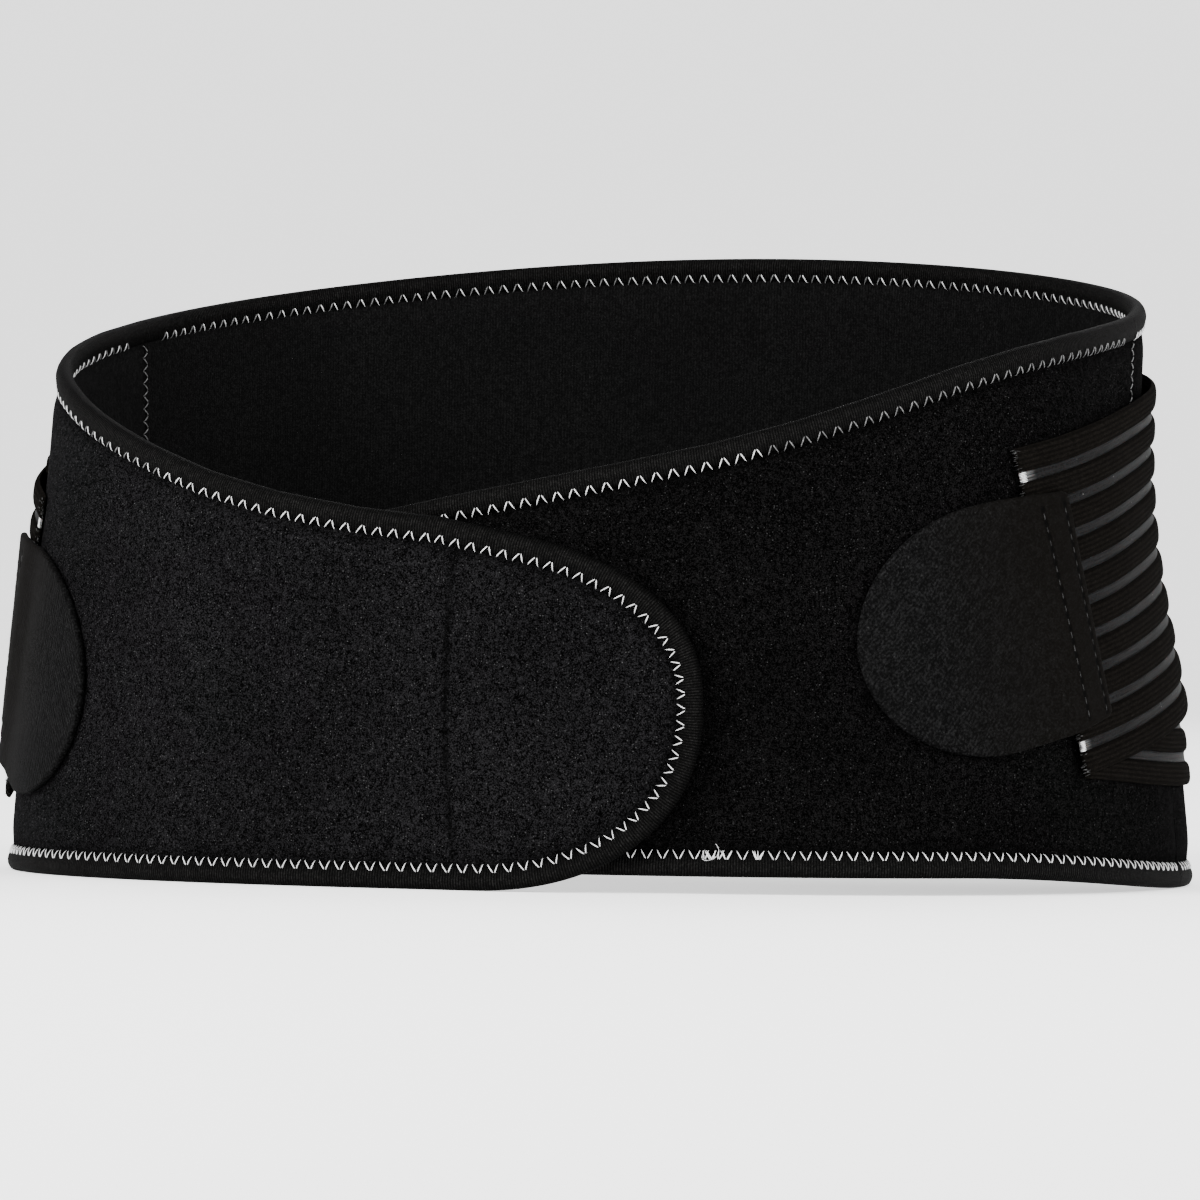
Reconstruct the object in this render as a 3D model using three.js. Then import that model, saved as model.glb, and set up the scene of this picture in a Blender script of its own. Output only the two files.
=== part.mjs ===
// Lumbar support belt, closed as it is worn, standing on its bottom edge.
// Millimetres, +Z up. The front faces -Y and +X is the wearer's left.
// Every piece is drawn as a flat section, extruded straight, and then carried onto the
// ring: "reach" is the distance round the ring from the front centre, positive towards
// the wearer's left, "height" is above the floor and "stand" is how far a point stands
// out from the face of the back panel.
import * as THREE from 'three';
import { mergeVertices } from 'three/addons/utils/BufferGeometryUtils.js';

// Ring of the belt in plan, at the bottom edge
const HALF_WIDTH = 190.8;
const HALF_DEPTH = 143.6;
const SQUARENESS = 2.36;
const FLARE = 0.088;
const WAIST_DRAW = 6.4;
const WAIST_DRAW_START = 200;
const WAIST_DRAW_FULL = 300;
const WAIST_DRAW_HEIGHT = 118;
const WAIST_DRAW_SPAN = 84;

// Heights of the top edge
const FRONT_HEIGHT = 113.3;
const SIDE_HEIGHT = 179.6;
const BACK_HEIGHT = 204;

// Panels
const PANEL_THICKNESS = 4.5;
const EDGE_PINCH = 0.9;
const PINCH_REACH = 12;
const SEAM_REACH = 290;
const SEAM_GAP = 0.3;
const OVERLAP_REACH = 87;
const END_TIP_HEIGHT = 55;
const END_TOP_SLOPE = 0.2;
const END_TOP_ROUND = 62;
const END_TOP_SQUARENESS = 2.6;
const END_BOTTOM_ROUND = 72;
const END_BOTTOM_SQUARENESS = 2.2;
const TIP_FLAT = 3.4;
const HEM_LIFT = 5.3;
const HEM_LIFT_START = 170;
const HEM_LIFT_END = 300;

// Rise of the top edge from the front centre to the side seam, as shares
const TOP_RISE = [
  { reach: 0.0, right: 0.0, left: 0.02 },
  { reach: 0.1, right: 0.045, left: 0.1 },
  { reach: 0.2, right: 0.115, left: 0.18 },
  { reach: 0.3, right: 0.214, left: 0.266 },
  { reach: 0.4, right: 0.344, left: 0.374 },
  { reach: 0.5, right: 0.481, left: 0.5 },
  { reach: 0.6, right: 0.621, left: 0.63 },
  { reach: 0.7, right: 0.741, left: 0.745 },
  { reach: 0.8, right: 0.842, left: 0.845 },
  { reach: 0.9, right: 0.928, left: 0.928 },
  { reach: 1.0, right: 1.0, left: 1.0 },
];

// Binding tape folded over the edges
const TAPE_THICKNESS = 0.9;
const TAPE_LEG = 7.2;
const TAPE_CLEARANCE = 0.3;
const TAPE_ROUNDING = 0.9;

// Hook patch between the overlapped front panels
const PATCH_THICKNESS = 1.5;
const PATCH_START = 5;
const PATCH_MARGIN = 10;
const PATCH_RISE = 0.8;
const PATCH_RISE_END = 15;

// Ribbed elastic webbing
const RIB_COUNT = 10;
const RIB_WIDTH = 7.7;
const RIB_THICKNESS = 1.8;
const RIB_SHOULDER = 0.6;
const FILM_WIDTH = 2.3;
const FILM_THICKNESS = 0.7;
const LAYER_GAP = 0.5;

// Band fixed round the back, and the two straps that are pulled over it
const BAND_HEIGHT = 32;
const BAND_END_REACH = 221;
const CLIMB_LENGTH = 26;
const CLIMB_MARGIN = 5;
const STRAP_END_REACH = 207;
const STRAP_ROOT_HEIGHT = 124.5;
const STRAP_ROOT_GAP = 0.6;
const STRAP_END_HEIGHT = { right: 71, left: 86 };
const CUT_END_LENGTH = 70;

// Tab on the front end of each strap
const TAB_LENGTH = 86.6;
const TAB_BACK_HALF = 35;
const TAB_HALF = 38;
const TAB_ROUND_START = 38;
const TAB_THICKNESS = 2.2;
const TAB_EDGE_ROUNDING = 0.6;
const TAB_OVERLAP = 14.6;
const TAB_STEP_START = 2;
const TAB_STEP_DOWN = 14;

// Tape over the strap roots at the back centre
const ROOT_TAPE_WIDTH = 26;
const ROOT_TAPE_THICKNESS = 1.2;
const ROOT_TAPE_MARGIN = 9;

// Fineness of the faceted solids
const RING_STEP = 27;
const FINE_STEP = 10;
const MIN_STEP = 1;
const END_STEPS = 8;
const PANEL_ROWS = 6;
const UNDERSIDE_ROWS = 8;
const TAB_STEPS = 8;
const ARC_DIVISIONS = 4000;

const SIDES = { right: -1, left: 1 };
const FABRIC = { color: 0x1b1c20, roughness: 0.95, metalness: 0 };
const TAPE = { color: 0x151515, roughness: 0.85, metalness: 0 };
const WEBBING = { color: 0x111113, roughness: 0.75, metalness: 0 };
const TAB_CLOTH = { color: 0x2a2a2c, roughness: 0.9, metalness: 0 };
const HOOK = { color: 0x0c0c0d, roughness: 0.8, metalness: 0 };

// The plan of the belt is a superellipse, walked round from the front centre
class RingCurve extends THREE.Curve {
  getPoint(share, target = new THREE.Vector3()) {
    const angle = -Math.PI / 2 + 2 * Math.PI * share;
    const across = Math.abs(Math.cos(angle) / HALF_WIDTH) ** SQUARENESS;
    const deep = Math.abs(Math.sin(angle) / HALF_DEPTH) ** SQUARENESS;
    const radius = (across + deep) ** (-1 / SQUARENESS);
    return target.set(radius * Math.cos(angle), radius * Math.sin(angle), 0);
  }
}

const ring = new RingCurve();
ring.arcLengthDivisions = ARC_DIVISIONS;
const GIRTH = ring.getLength();
const BACK_REACH = GIRTH / 2;
const BAND_WIDTH = RIB_COUNT * RIB_WIDTH + (RIB_COUNT - 1) * FILM_WIDTH;
const UNDERLAP = PANEL_THICKNESS + PATCH_THICKNESS + 3 * TAPE_CLEARANCE;
const WEBBING_LAYER = RIB_THICKNESS + LAYER_GAP;
const TAPE_DEPTH = TAPE_THICKNESS + TAPE_CLEARANCE;

// Rises smoothly from 0 at low to 1 at high
const ramp = (value, low, high) => THREE.MathUtils.smoothstep(value, low, high);

// Reach brought to the half ring on either side of the front centre
const wrapped = (reach) => reach - GIRTH * Math.round(reach / GIRTH);

// Value of one column of a table, by straight lines between its rows
function fromTable(rows, column, share) {
  const position = THREE.MathUtils.clamp(share, 0, 1) * (rows.length - 1);
  const row = Math.min(Math.floor(position), rows.length - 2);
  return THREE.MathUtils.lerp(rows[row][column], rows[row + 1][column], position - row);
}

// How far the pull of the straps draws the cloth in, at the sides and the back
function waistDraw(reach, height) {
  const round = ramp(Math.abs(wrapped(reach)), WAIST_DRAW_START, WAIST_DRAW_FULL);
  const level = Math.min(Math.abs(height - WAIST_DRAW_HEIGHT) / WAIST_DRAW_SPAN, 1);
  return WAIST_DRAW * round * Math.cos(level * Math.PI / 2) ** 2;
}

// Point of the ring at a reach, a height and a stand
function onRing(reach, height, stand) {
  const share = THREE.MathUtils.euclideanModulo(reach, GIRTH) / GIRTH;
  const point = ring.getPointAt(share);
  const tangent = ring.getTangentAt(share);
  const out = stand - FLARE * height - waistDraw(reach, height);
  return new THREE.Vector3(point.x + tangent.y * out, point.y - tangent.x * out, height);
}

// Lift of the bottom edge, on the wearer's left, where the front panel lies underneath
function hemLift(reach, side) {
  if (side === 'right') return 0;
  return HEM_LIFT * (1 - ramp(wrapped(reach), HEM_LIFT_START, HEM_LIFT_END));
}

// Height of the top edge at the distance from the front centre, without the lift
function topEdge(distance, side) {
  const drop = END_TOP_SLOPE * Math.max(-distance, 0);
  const rise = fromTable(TOP_RISE, side, distance / SEAM_REACH);
  const back = Math.sin(THREE.MathUtils.clamp(
    (distance - SEAM_REACH) / (BACK_REACH - SEAM_REACH), 0, 1) * Math.PI / 2);
  return FRONT_HEIGHT - drop + rise * (SIDE_HEIGHT - FRONT_HEIGHT) + back * (BACK_HEIGHT - SIDE_HEIGHT);
}

// Stand of a front panel's face: the left one runs underneath, the right one over the patch
function panelStand(reach, side) {
  if (side === 'left') return -UNDERLAP * (1 - ramp(reach, OVERLAP_REACH, SEAM_REACH));
  return PATCH_RISE * ramp(reach, 0, PATCH_RISE_END);
}

// Even steps from one value to another, near a wanted step
function evenSteps(from, to, step) {
  const count = Math.max(Math.round(Math.abs(to - from) / step), 1);
  return Array.from({ length: count + 1 }, (_, index) => THREE.MathUtils.lerp(from, to, index / count));
}

// Shared stations round the ring, so that layers of cloth bend at the same places
const FRONT_STATIONS = evenSteps(-SEAM_REACH, SEAM_REACH, RING_STEP);
const SHARED_STATIONS = [
  ...FRONT_STATIONS,
  ...evenSteps(SEAM_REACH, GIRTH - SEAM_REACH, RING_STEP).slice(1),
  ...FRONT_STATIONS.slice(1).map((reach) => reach + GIRTH),
];

// Stations from one reach to another, through the shared ones between them
function stations(from, to) {
  const low = Math.min(from, to) + MIN_STEP;
  const high = Math.max(from, to) - MIN_STEP;
  const between = SHARED_STATIONS.filter((reach) => reach > low && reach < high);
  return [from, ...(from < to ? between : between.reverse()), to];
}

// Extrudes a section in straight steps and carries each vertex by place(x, y, step)
function carried(points, steps, place) {
  const shape = new THREE.Shape(points.map(([x, y]) => new THREE.Vector2(x, y)));
  const extruded = new THREE.ExtrudeGeometry(shape, { depth: steps, steps, bevelEnabled: false });
  extruded.deleteAttribute('uv');
  extruded.deleteAttribute('normal');
  const geometry = mergeVertices(extruded);
  const position = geometry.getAttribute('position');
  for (let vertex = 0; vertex < position.count; vertex += 1) {
    const spot = place(position.getX(vertex), position.getY(vertex), Math.round(position.getZ(vertex)));
    position.setXYZ(vertex, spot.x, spot.y, spot.z);
  }
  return facingOut(geometry);
}

// Turns the faces round where the carrying has turned the solid inside out
function facingOut(geometry) {
  const index = geometry.getIndex();
  const position = geometry.getAttribute('position');
  const corner = [0, 1, 2].map(() => new THREE.Vector3());
  let volume = 0;
  for (let first = 0; first < index.count; first += 3) {
    corner.forEach((point, place) => point.fromBufferAttribute(position, index.getX(first + place)));
    volume += corner[0].dot(corner[1].clone().cross(corner[2]));
  }
  if (volume < 0) {
    for (let first = 0; first < index.count; first += 3) {
      const second = index.getX(first + 1);
      index.setX(first + 1, index.getX(first + 2));
      index.setX(first + 2, second);
    }
  }
  geometry.computeVertexNormals();
  return geometry;
}

function piece(name, geometry, finish) {
  const mesh = new THREE.Mesh(geometry, new THREE.MeshStandardMaterial(finish));
  mesh.name = name;
  return mesh;
}

// Quarter turn of a round end of some half height, up to the flat left at its tip
const tipAngle = (half) => Math.acos(TIP_FLAT / 2 / half);

// Bottom and top edge of a front panel, from its side seam to the tip of its round end
function frontEdges(side) {
  const sign = SIDES[side];
  const spot = (distance, height) => {
    const reach = sign * distance;
    return new THREE.Vector2(reach, height + hemLift(reach, side));
  };
  const straight = stations(SEAM_REACH - SEAM_GAP / 2, 0);
  const bottom = straight.map((distance) => spot(distance, 0));
  const top = straight.map((distance) => spot(distance, topEdge(distance, side)));
  for (let step = 0; step <= END_STEPS; step += 1) {
    const share = Math.sin(step / END_STEPS * tipAngle(END_TIP_HEIGHT));
    const low = -OVERLAP_REACH + END_BOTTOM_ROUND * (1 - share);
    const high = -OVERLAP_REACH + END_TOP_ROUND * (1 - share);
    const lowRound = (1 - share ** END_BOTTOM_SQUARENESS) ** (1 / END_BOTTOM_SQUARENESS);
    const highRound = (1 - share ** END_TOP_SQUARENESS) ** (1 / END_TOP_SQUARENESS);
    bottom.push(spot(low, END_TIP_HEIGHT * (1 - lowRound)));
    top.push(spot(high, END_TIP_HEIGHT + (topEdge(high, side) - END_TIP_HEIGHT) * highRound));
  }
  return { bottom, top, stand: (reach) => panelStand(reach, side), roundEnd: true };
}

// Bottom and top edge of the back panel, round the back from seam to seam
function backEdges() {
  const reaches = stations(SEAM_REACH + SEAM_GAP / 2, GIRTH - SEAM_REACH - SEAM_GAP / 2);
  const sideOf = (reach) => (wrapped(reach) > 0 ? 'left' : 'right');
  const bottom = reaches.map((reach) => new THREE.Vector2(reach, hemLift(reach, sideOf(reach))));
  const top = reaches.map((reach, place) => new THREE.Vector2(
    reach, bottom[place].y + topEdge(Math.abs(wrapped(reach)), sideOf(reach))));
  return { bottom, top, stand: () => 0, roundEnd: false };
}

// Unit vectors that point into the panel, square to a path of edge points; both ends of
// the path are at a side seam, where they stand upright
function inward(path, ahead) {
  return path.map((point, place) => {
    const atSeam = place === 0 || place === path.length - 1;
    const before = path[Math.max(place - 1, 0)];
    const after = path[Math.min(place + 1, path.length - 1)];
    const along = after.clone().sub(before);
    if (atSeam) along.setY(0);
    along.normalize();
    return new THREE.Vector2(-along.y * ahead, along.x * ahead);
  });
}

// Bottom edge and top edge as one path round the far end
const rimOf = (edges) => [...edges.bottom, ...[...edges.top].reverse()];

// The edges of a panel moved into it by a margin
function insetEdges(edges, margin) {
  const moved = (path, ahead) => inward(path, ahead)
    .map((normal, place) => path[place].clone().addScaledVector(normal, margin));
  if (!edges.roundEnd) return { ...edges, bottom: moved(edges.bottom, 1), top: moved(edges.top, -1) };
  const turn = Math.sign(edges.bottom[1].x - edges.bottom[0].x);
  const inner = moved(rimOf(edges), turn);
  const count = edges.bottom.length;
  return { ...edges, bottom: inner.slice(0, count), top: inner.slice(count).reverse() };
}

// Distance of a spot from the nearest of some edge paths
function edgeDistance(spot, paths) {
  const point = new THREE.Vector3(spot.x, spot.y, 0);
  const nearest = new THREE.Vector3();
  const distances = paths.flatMap((path) => path.slice(1).map((end, place) => {
    const start = new THREE.Vector3(path[place].x, path[place].y, 0);
    new THREE.Line3(start, new THREE.Vector3(end.x, end.y, 0)).closestPointToPoint(point, true, nearest);
    return nearest.distanceTo(point);
  }));
  return Math.min(...distances);
}

// Quilted panel: full thickness in the middle, pinched thinner where the tape grips it
function panel(edges, boundPaths) {
  const { bottom, top, stand } = insetEdges(edges, TAPE_DEPTH);
  const grip = TAPE_LEG - TAPE_DEPTH + TAPE_CLEARANCE;
  const width = FRONT_HEIGHT;
  const middle = evenSteps(PINCH_REACH, width - PINCH_REACH, (width - 2 * PINCH_REACH) / PANEL_ROWS);
  const outer = [0, grip, ...middle, width - grip, width];
  const inner = [width, width - grip, width - PINCH_REACH, width / 2, PINCH_REACH, grip, 0];
  const section = [...outer.map((place) => [place, 0]), ...inner.map((place) => [place, -PANEL_THICKNESS])];
  return carried(section, bottom.length - 1, (place, face, step) => {
    const span = bottom[step].distanceTo(top[step]);
    const edge = Math.min(PINCH_REACH, span / 3);
    const fromEnd = Math.min(place, width - place);
    const near = fromEnd / PINCH_REACH * edge;
    const far = edge + (fromEnd - PINCH_REACH) / (width - 2 * PINCH_REACH) * (span - 2 * edge);
    const distance = fromEnd <= PINCH_REACH ? near : far;
    const share = place <= width / 2 ? distance / span : 1 - distance / span;
    const spot = bottom[step].clone().lerp(top[step], share);
    const loose = THREE.MathUtils.clamp(
      (edgeDistance(spot, boundPaths) - TAPE_LEG) / (PINCH_REACH - grip), 0, 1);
    const pinch = EDGE_PINCH * (1 - loose) * (face < 0 ? 1 : -1);
    return onRing(spot.x, spot.y, stand(spot.x) + face + pinch);
  });
}

// Binding tape folded over an edge path, as a U whose legs lie on both faces
function binding(path, ahead, stand) {
  const face = TAPE_CLEARANCE;
  const back = -PANEL_THICKNESS - TAPE_CLEARANCE;
  const section = [
    [TAPE_LEG, face], [TAPE_ROUNDING, face], [0, face - TAPE_ROUNDING],
    [0, back + TAPE_ROUNDING], [TAPE_ROUNDING, back], [TAPE_LEG, back],
    [TAPE_LEG, back + TAPE_THICKNESS], [TAPE_THICKNESS, back + TAPE_THICKNESS],
    [TAPE_THICKNESS, face - TAPE_THICKNESS], [TAPE_LEG, face - TAPE_THICKNESS],
  ];
  const normals = inward(path, ahead);
  return carried(section, path.length - 1, (depth, out, step) => {
    const spot = path[step].clone().addScaledVector(normals[step], depth);
    return onRing(spot.x, spot.y, stand(spot.x) + out);
  });
}

// Hook patch: it fills the round end between the two front panels
function hookPatch(edges) {
  const { bottom, top, stand } = insetEdges(edges, PATCH_MARGIN);
  const first = bottom.findIndex((point) => point.x > PATCH_START);
  const startSpots = [bottom, top].map((rail) => new THREE.Vector2(PATCH_START, rail[first].y));
  const low = [startSpots[0], ...bottom.slice(first)];
  const high = [startSpots[1], ...top.slice(first)];
  const outer = -PANEL_THICKNESS - TAPE_CLEARANCE;
  const section = [[0, outer], [1, outer], [1, outer - PATCH_THICKNESS], [0, outer - PATCH_THICKNESS]];
  return carried(section, low.length - 1, (share, face, step) => {
    const spot = low[step].clone().lerp(high[step], share);
    return onRing(spot.x, spot.y, stand(spot.x) + face);
  });
}

// Section of the webbing: ribs that stand on a thin film, across its width
function ribbedSection() {
  const section = [];
  for (let rib = 0; rib < RIB_COUNT; rib += 1) {
    const start = rib * (RIB_WIDTH + FILM_WIDTH) - BAND_WIDTH / 2;
    section.push([start, FILM_THICKNESS], [start + RIB_SHOULDER, RIB_THICKNESS]);
    section.push([start + RIB_WIDTH - RIB_SHOULDER, RIB_THICKNESS], [start + RIB_WIDTH, FILM_THICKNESS]);
  }
  const underside = evenSteps(BAND_WIDTH / 2, -BAND_WIDTH / 2, BAND_WIDTH / UNDERSIDE_ROWS);
  return [...section, ...underside.map((across) => [across, 0])];
}

// Face of whatever panel is outermost beside the straps and tabs
const panelFace = (reach) => (wrapped(reach) > 0 ? panelStand(wrapped(reach), 'left') : 0);

// Stand of the straps' underside: it climbs from the panel onto the end of the band
function strapStand(reach) {
  const foot = BAND_END_REACH - CLIMB_MARGIN;
  const climb = ramp(Math.abs(wrapped(reach)), foot - CLIMB_LENGTH, foot);
  return panelFace(reach) + LAYER_GAP + WEBBING_LAYER * climb;
}

function backBand() {
  const reaches = stations(BAND_END_REACH, GIRTH - BAND_END_REACH);
  return carried(ribbedSection(), reaches.length - 1, (across, out, step) => {
    const reach = reaches[step];
    const lift = wrapped(reach) > 0 ? hemLift(reach, 'left') : 0;
    const height = BAND_HEIGHT + lift + BAND_WIDTH / 2 + across;
    return onRing(reach, height, panelFace(reach) + LAYER_GAP + out);
  });
}

// Middle line of a strap: it climbs from the tab and levels out towards the back centre
function strapLine(side) {
  const rise = STRAP_ROOT_HEIGHT - STRAP_END_HEIGHT[side];
  const length = BACK_REACH - STRAP_END_REACH;
  const left = (distance) => 1 - (distance - STRAP_END_REACH) / length;
  return {
    height: (distance) => STRAP_ROOT_HEIGHT - rise * left(distance) ** 2,
    angle: (distance) => Math.atan(2 * rise / length * left(distance)),
  };
}

// Spot on a strap, across from its middle line; its cut end is square to the line
function strapSpot(line, distance, across) {
  const square = 1 - ramp(distance, STRAP_END_REACH, STRAP_END_REACH + CUT_END_LENGTH);
  const shifted = distance - square * Math.sin(line.angle(distance)) * across;
  return new THREE.Vector2(shifted, line.height(shifted) + across / Math.cos(line.angle(shifted)));
}

function pullStrap(side) {
  const line = strapLine(side);
  const fine = STRAP_END_REACH + CUT_END_LENGTH;
  const distances = [...evenSteps(STRAP_END_REACH, fine, FINE_STEP),
    ...stations(fine, BACK_REACH - STRAP_ROOT_GAP / 2).slice(1)];
  return carried(ribbedSection(), distances.length - 1, (across, out, step) => {
    const spot = strapSpot(line, distances[step], across);
    const reach = SIDES[side] * spot.x;
    return onRing(reach, spot.y, strapStand(reach) + out);
  });
}

// Half width of the tab at a distance from its straight back edge
function tabHalf(distance) {
  if (distance <= TAB_ROUND_START) {
    return THREE.MathUtils.lerp(TAB_BACK_HALF, TAB_HALF, Math.sin(distance / TAB_ROUND_START * Math.PI / 2));
  }
  const share = (distance - TAB_ROUND_START) / (TAB_LENGTH - TAB_ROUND_START);
  return TAB_HALF * Math.sqrt(Math.max(1 - share ** 2, 0));
}

function pullTab(side) {
  const line = strapLine(side);
  const angle = line.angle(STRAP_END_REACH);
  const axis = new THREE.Vector2(Math.cos(angle), Math.sin(angle));
  const square = new THREE.Vector2(-axis.y, axis.x);
  const end = new THREE.Vector2(STRAP_END_REACH, line.height(STRAP_END_REACH));
  const flat = [...evenSteps(0, TAB_OVERLAP, FINE_STEP / 2),
    ...evenSteps(TAB_OVERLAP + TAB_STEP_START, TAB_ROUND_START, FINE_STEP / 2)];
  const round = Array.from({ length: TAB_STEPS }, (_, step) => TAB_ROUND_START
    + (TAB_LENGTH - TAB_ROUND_START) * Math.sin((step + 1) / TAB_STEPS * tipAngle(TAB_HALF)));
  const distances = [...flat, ...round];
  const rim = 1 - TAB_EDGE_ROUNDING / TAB_HALF;
  const inside = [-0.5, 0, 0.5];
  const section = [
    [-1, 0], ...inside.map((across) => [across, 0]), [1, 0], [1, TAB_THICKNESS - TAB_EDGE_ROUNDING],
    [rim, TAB_THICKNESS], ...inside.map((across) => [-across, TAB_THICKNESS]),
    [-rim, TAB_THICKNESS], [-1, TAB_THICKNESS - TAB_EDGE_ROUNDING],
  ];
  return carried(section, distances.length - 1, (across, out, step) => {
    const distance = distances[step];
    const spot = end.clone().addScaledVector(axis, TAB_OVERLAP - distance)
      .addScaledVector(square, across * tabHalf(distance));
    const overStrap = 1 - ramp(distance, TAB_OVERLAP + TAB_STEP_START, TAB_OVERLAP + TAB_STEP_DOWN);
    const reach = SIDES[side] * spot.x;
    return onRing(reach, spot.y, strapStand(reach) + WEBBING_LAYER * overStrap + out);
  });
}

// Tape over the roots of both straps, where they meet at the back centre
function centreBackTape() {
  const halfStrap = BAND_WIDTH / 2;
  const strapLow = STRAP_ROOT_HEIGHT - halfStrap;
  const strapHigh = STRAP_ROOT_HEIGHT + halfStrap;
  const low = Math.min(strapLow, BAND_HEIGHT) - ROOT_TAPE_MARGIN;
  const high = strapHigh + ROOT_TAPE_MARGIN;
  const heights = evenSteps(low, high, FINE_STEP);
  const half = ROOT_TAPE_WIDTH / 2;
  const section = [[-half, 0], [0, 0], [half, 0],
    [half, ROOT_TAPE_THICKNESS], [0, ROOT_TAPE_THICKNESS], [-half, ROOT_TAPE_THICKNESS]];
  return carried(section, heights.length - 1, (across, out, step) => {
    const height = heights[step];
    const reach = BACK_REACH + across;
    const overStrap = ramp(height, strapLow - ROOT_TAPE_MARGIN, strapLow - LAYER_GAP)
      * (1 - ramp(height, strapHigh + LAYER_GAP, strapHigh + ROOT_TAPE_MARGIN));
    return onRing(reach, height, strapStand(reach) + WEBBING_LAYER * overStrap + out);
  });
}

const belt = new THREE.Group();
for (const side of Object.keys(SIDES)) {
  const edges = frontEdges(side);
  const rim = rimOf(edges);
  belt.add(piece(`front_panel_${side}`, panel(edges, [rim]), FABRIC));
  belt.add(piece(`front_binding_${side}`, binding(rim, -SIDES[side], edges.stand), TAPE));
  belt.add(piece(`pull_strap_${side}`, pullStrap(side), WEBBING));
  belt.add(piece(`pull_tab_${side}`, pullTab(side), TAB_CLOTH));
}
const back = backEdges();
belt.add(piece('back_panel', panel(back, [back.bottom, back.top]), FABRIC));
belt.add(piece('back_binding_bottom', binding(back.bottom, 1, back.stand), TAPE));
belt.add(piece('back_binding_top', binding(back.top, -1, back.stand), TAPE));
belt.add(piece('hook_patch', hookPatch(frontEdges('right')), HOOK));
belt.add(piece('back_band', backBand(), WEBBING));
belt.add(piece('centre_back_tape', centreBackTape(), TAPE));

export default belt;
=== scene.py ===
import logging
import math
from collections.abc import Callable
from dataclasses import dataclass, field
from enum import Enum

import bpy
import numpy as np
from mathutils import Matrix, Vector


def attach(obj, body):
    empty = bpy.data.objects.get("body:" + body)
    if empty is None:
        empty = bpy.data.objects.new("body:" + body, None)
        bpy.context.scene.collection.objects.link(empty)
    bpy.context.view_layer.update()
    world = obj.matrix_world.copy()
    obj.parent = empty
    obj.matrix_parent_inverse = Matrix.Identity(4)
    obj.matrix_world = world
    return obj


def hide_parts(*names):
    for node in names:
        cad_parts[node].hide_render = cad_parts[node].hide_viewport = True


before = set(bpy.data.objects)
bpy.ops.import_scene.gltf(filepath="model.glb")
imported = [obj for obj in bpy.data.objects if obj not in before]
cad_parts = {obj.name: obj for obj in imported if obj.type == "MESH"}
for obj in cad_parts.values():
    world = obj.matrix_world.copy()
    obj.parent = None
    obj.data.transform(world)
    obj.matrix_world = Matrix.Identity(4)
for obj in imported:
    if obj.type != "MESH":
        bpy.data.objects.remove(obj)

MM = 0.001
LOG = logging.getLogger("belt")
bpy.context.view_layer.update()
Colour = tuple[float, float, float, float]

# Sizes that a shape and its finish share.
TAPE_LEG = 7.2
TAPE_RUN = 17.5
STRAP_END = 207.0
TAB_ROWS = (3.0, 12.0)
TAB_ROW_HALF = 33.5
TAB_STITCH = 4.1
# The crease of the right panel: its reach at a height, and how it bends away from there.
CREASE_REACH = 4.7
CREASE_HEIGHT = 75.0
CREASE_BEND = 0.00119


def grey(level: float, warmth: float = 0.0, violet: float = 0.0) -> Colour:
    """A grey; warmth reddens it, or cools it below 0, and violet takes green from it."""
    return (level * (1.0 + warmth + violet), level, level * (1.0 - warmth + violet), 1.0)


def smooth(value: np.ndarray, low: float, high: float) -> np.ndarray:
    """Rises smoothly from 0 at low to 1 at high."""
    share = np.clip((np.asarray(value, float) - low) / (high - low), 0.0, 1.0)
    return share * share * (3.0 - 2.0 * share)


def even(start: float, end: float, step: float) -> np.ndarray:
    """Even steps from start to end, near a wanted step."""
    return np.linspace(start, end, max(round(abs(end - start) / step), 1) + 1)


def spread(*parts) -> np.ndarray:
    """Coordinates brought to one shape and stacked in a last axis."""
    return np.stack(np.broadcast_arrays(*parts), -1)


def walk_length(path: np.ndarray) -> np.ndarray:
    """Length walked along a path up to each of its points."""
    return np.concatenate([[0.0], np.cumsum(np.linalg.norm(np.diff(path, axis=0), axis=1))])


class Side(Enum):
    """Side of the wearer; the value is the sign of its reach."""

    RIGHT = -1
    LEFT = 1

    @property
    def word(self) -> str:
        """The side's word in the names of pieces."""
        return self.name.lower()


# ---- Meshes


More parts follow.
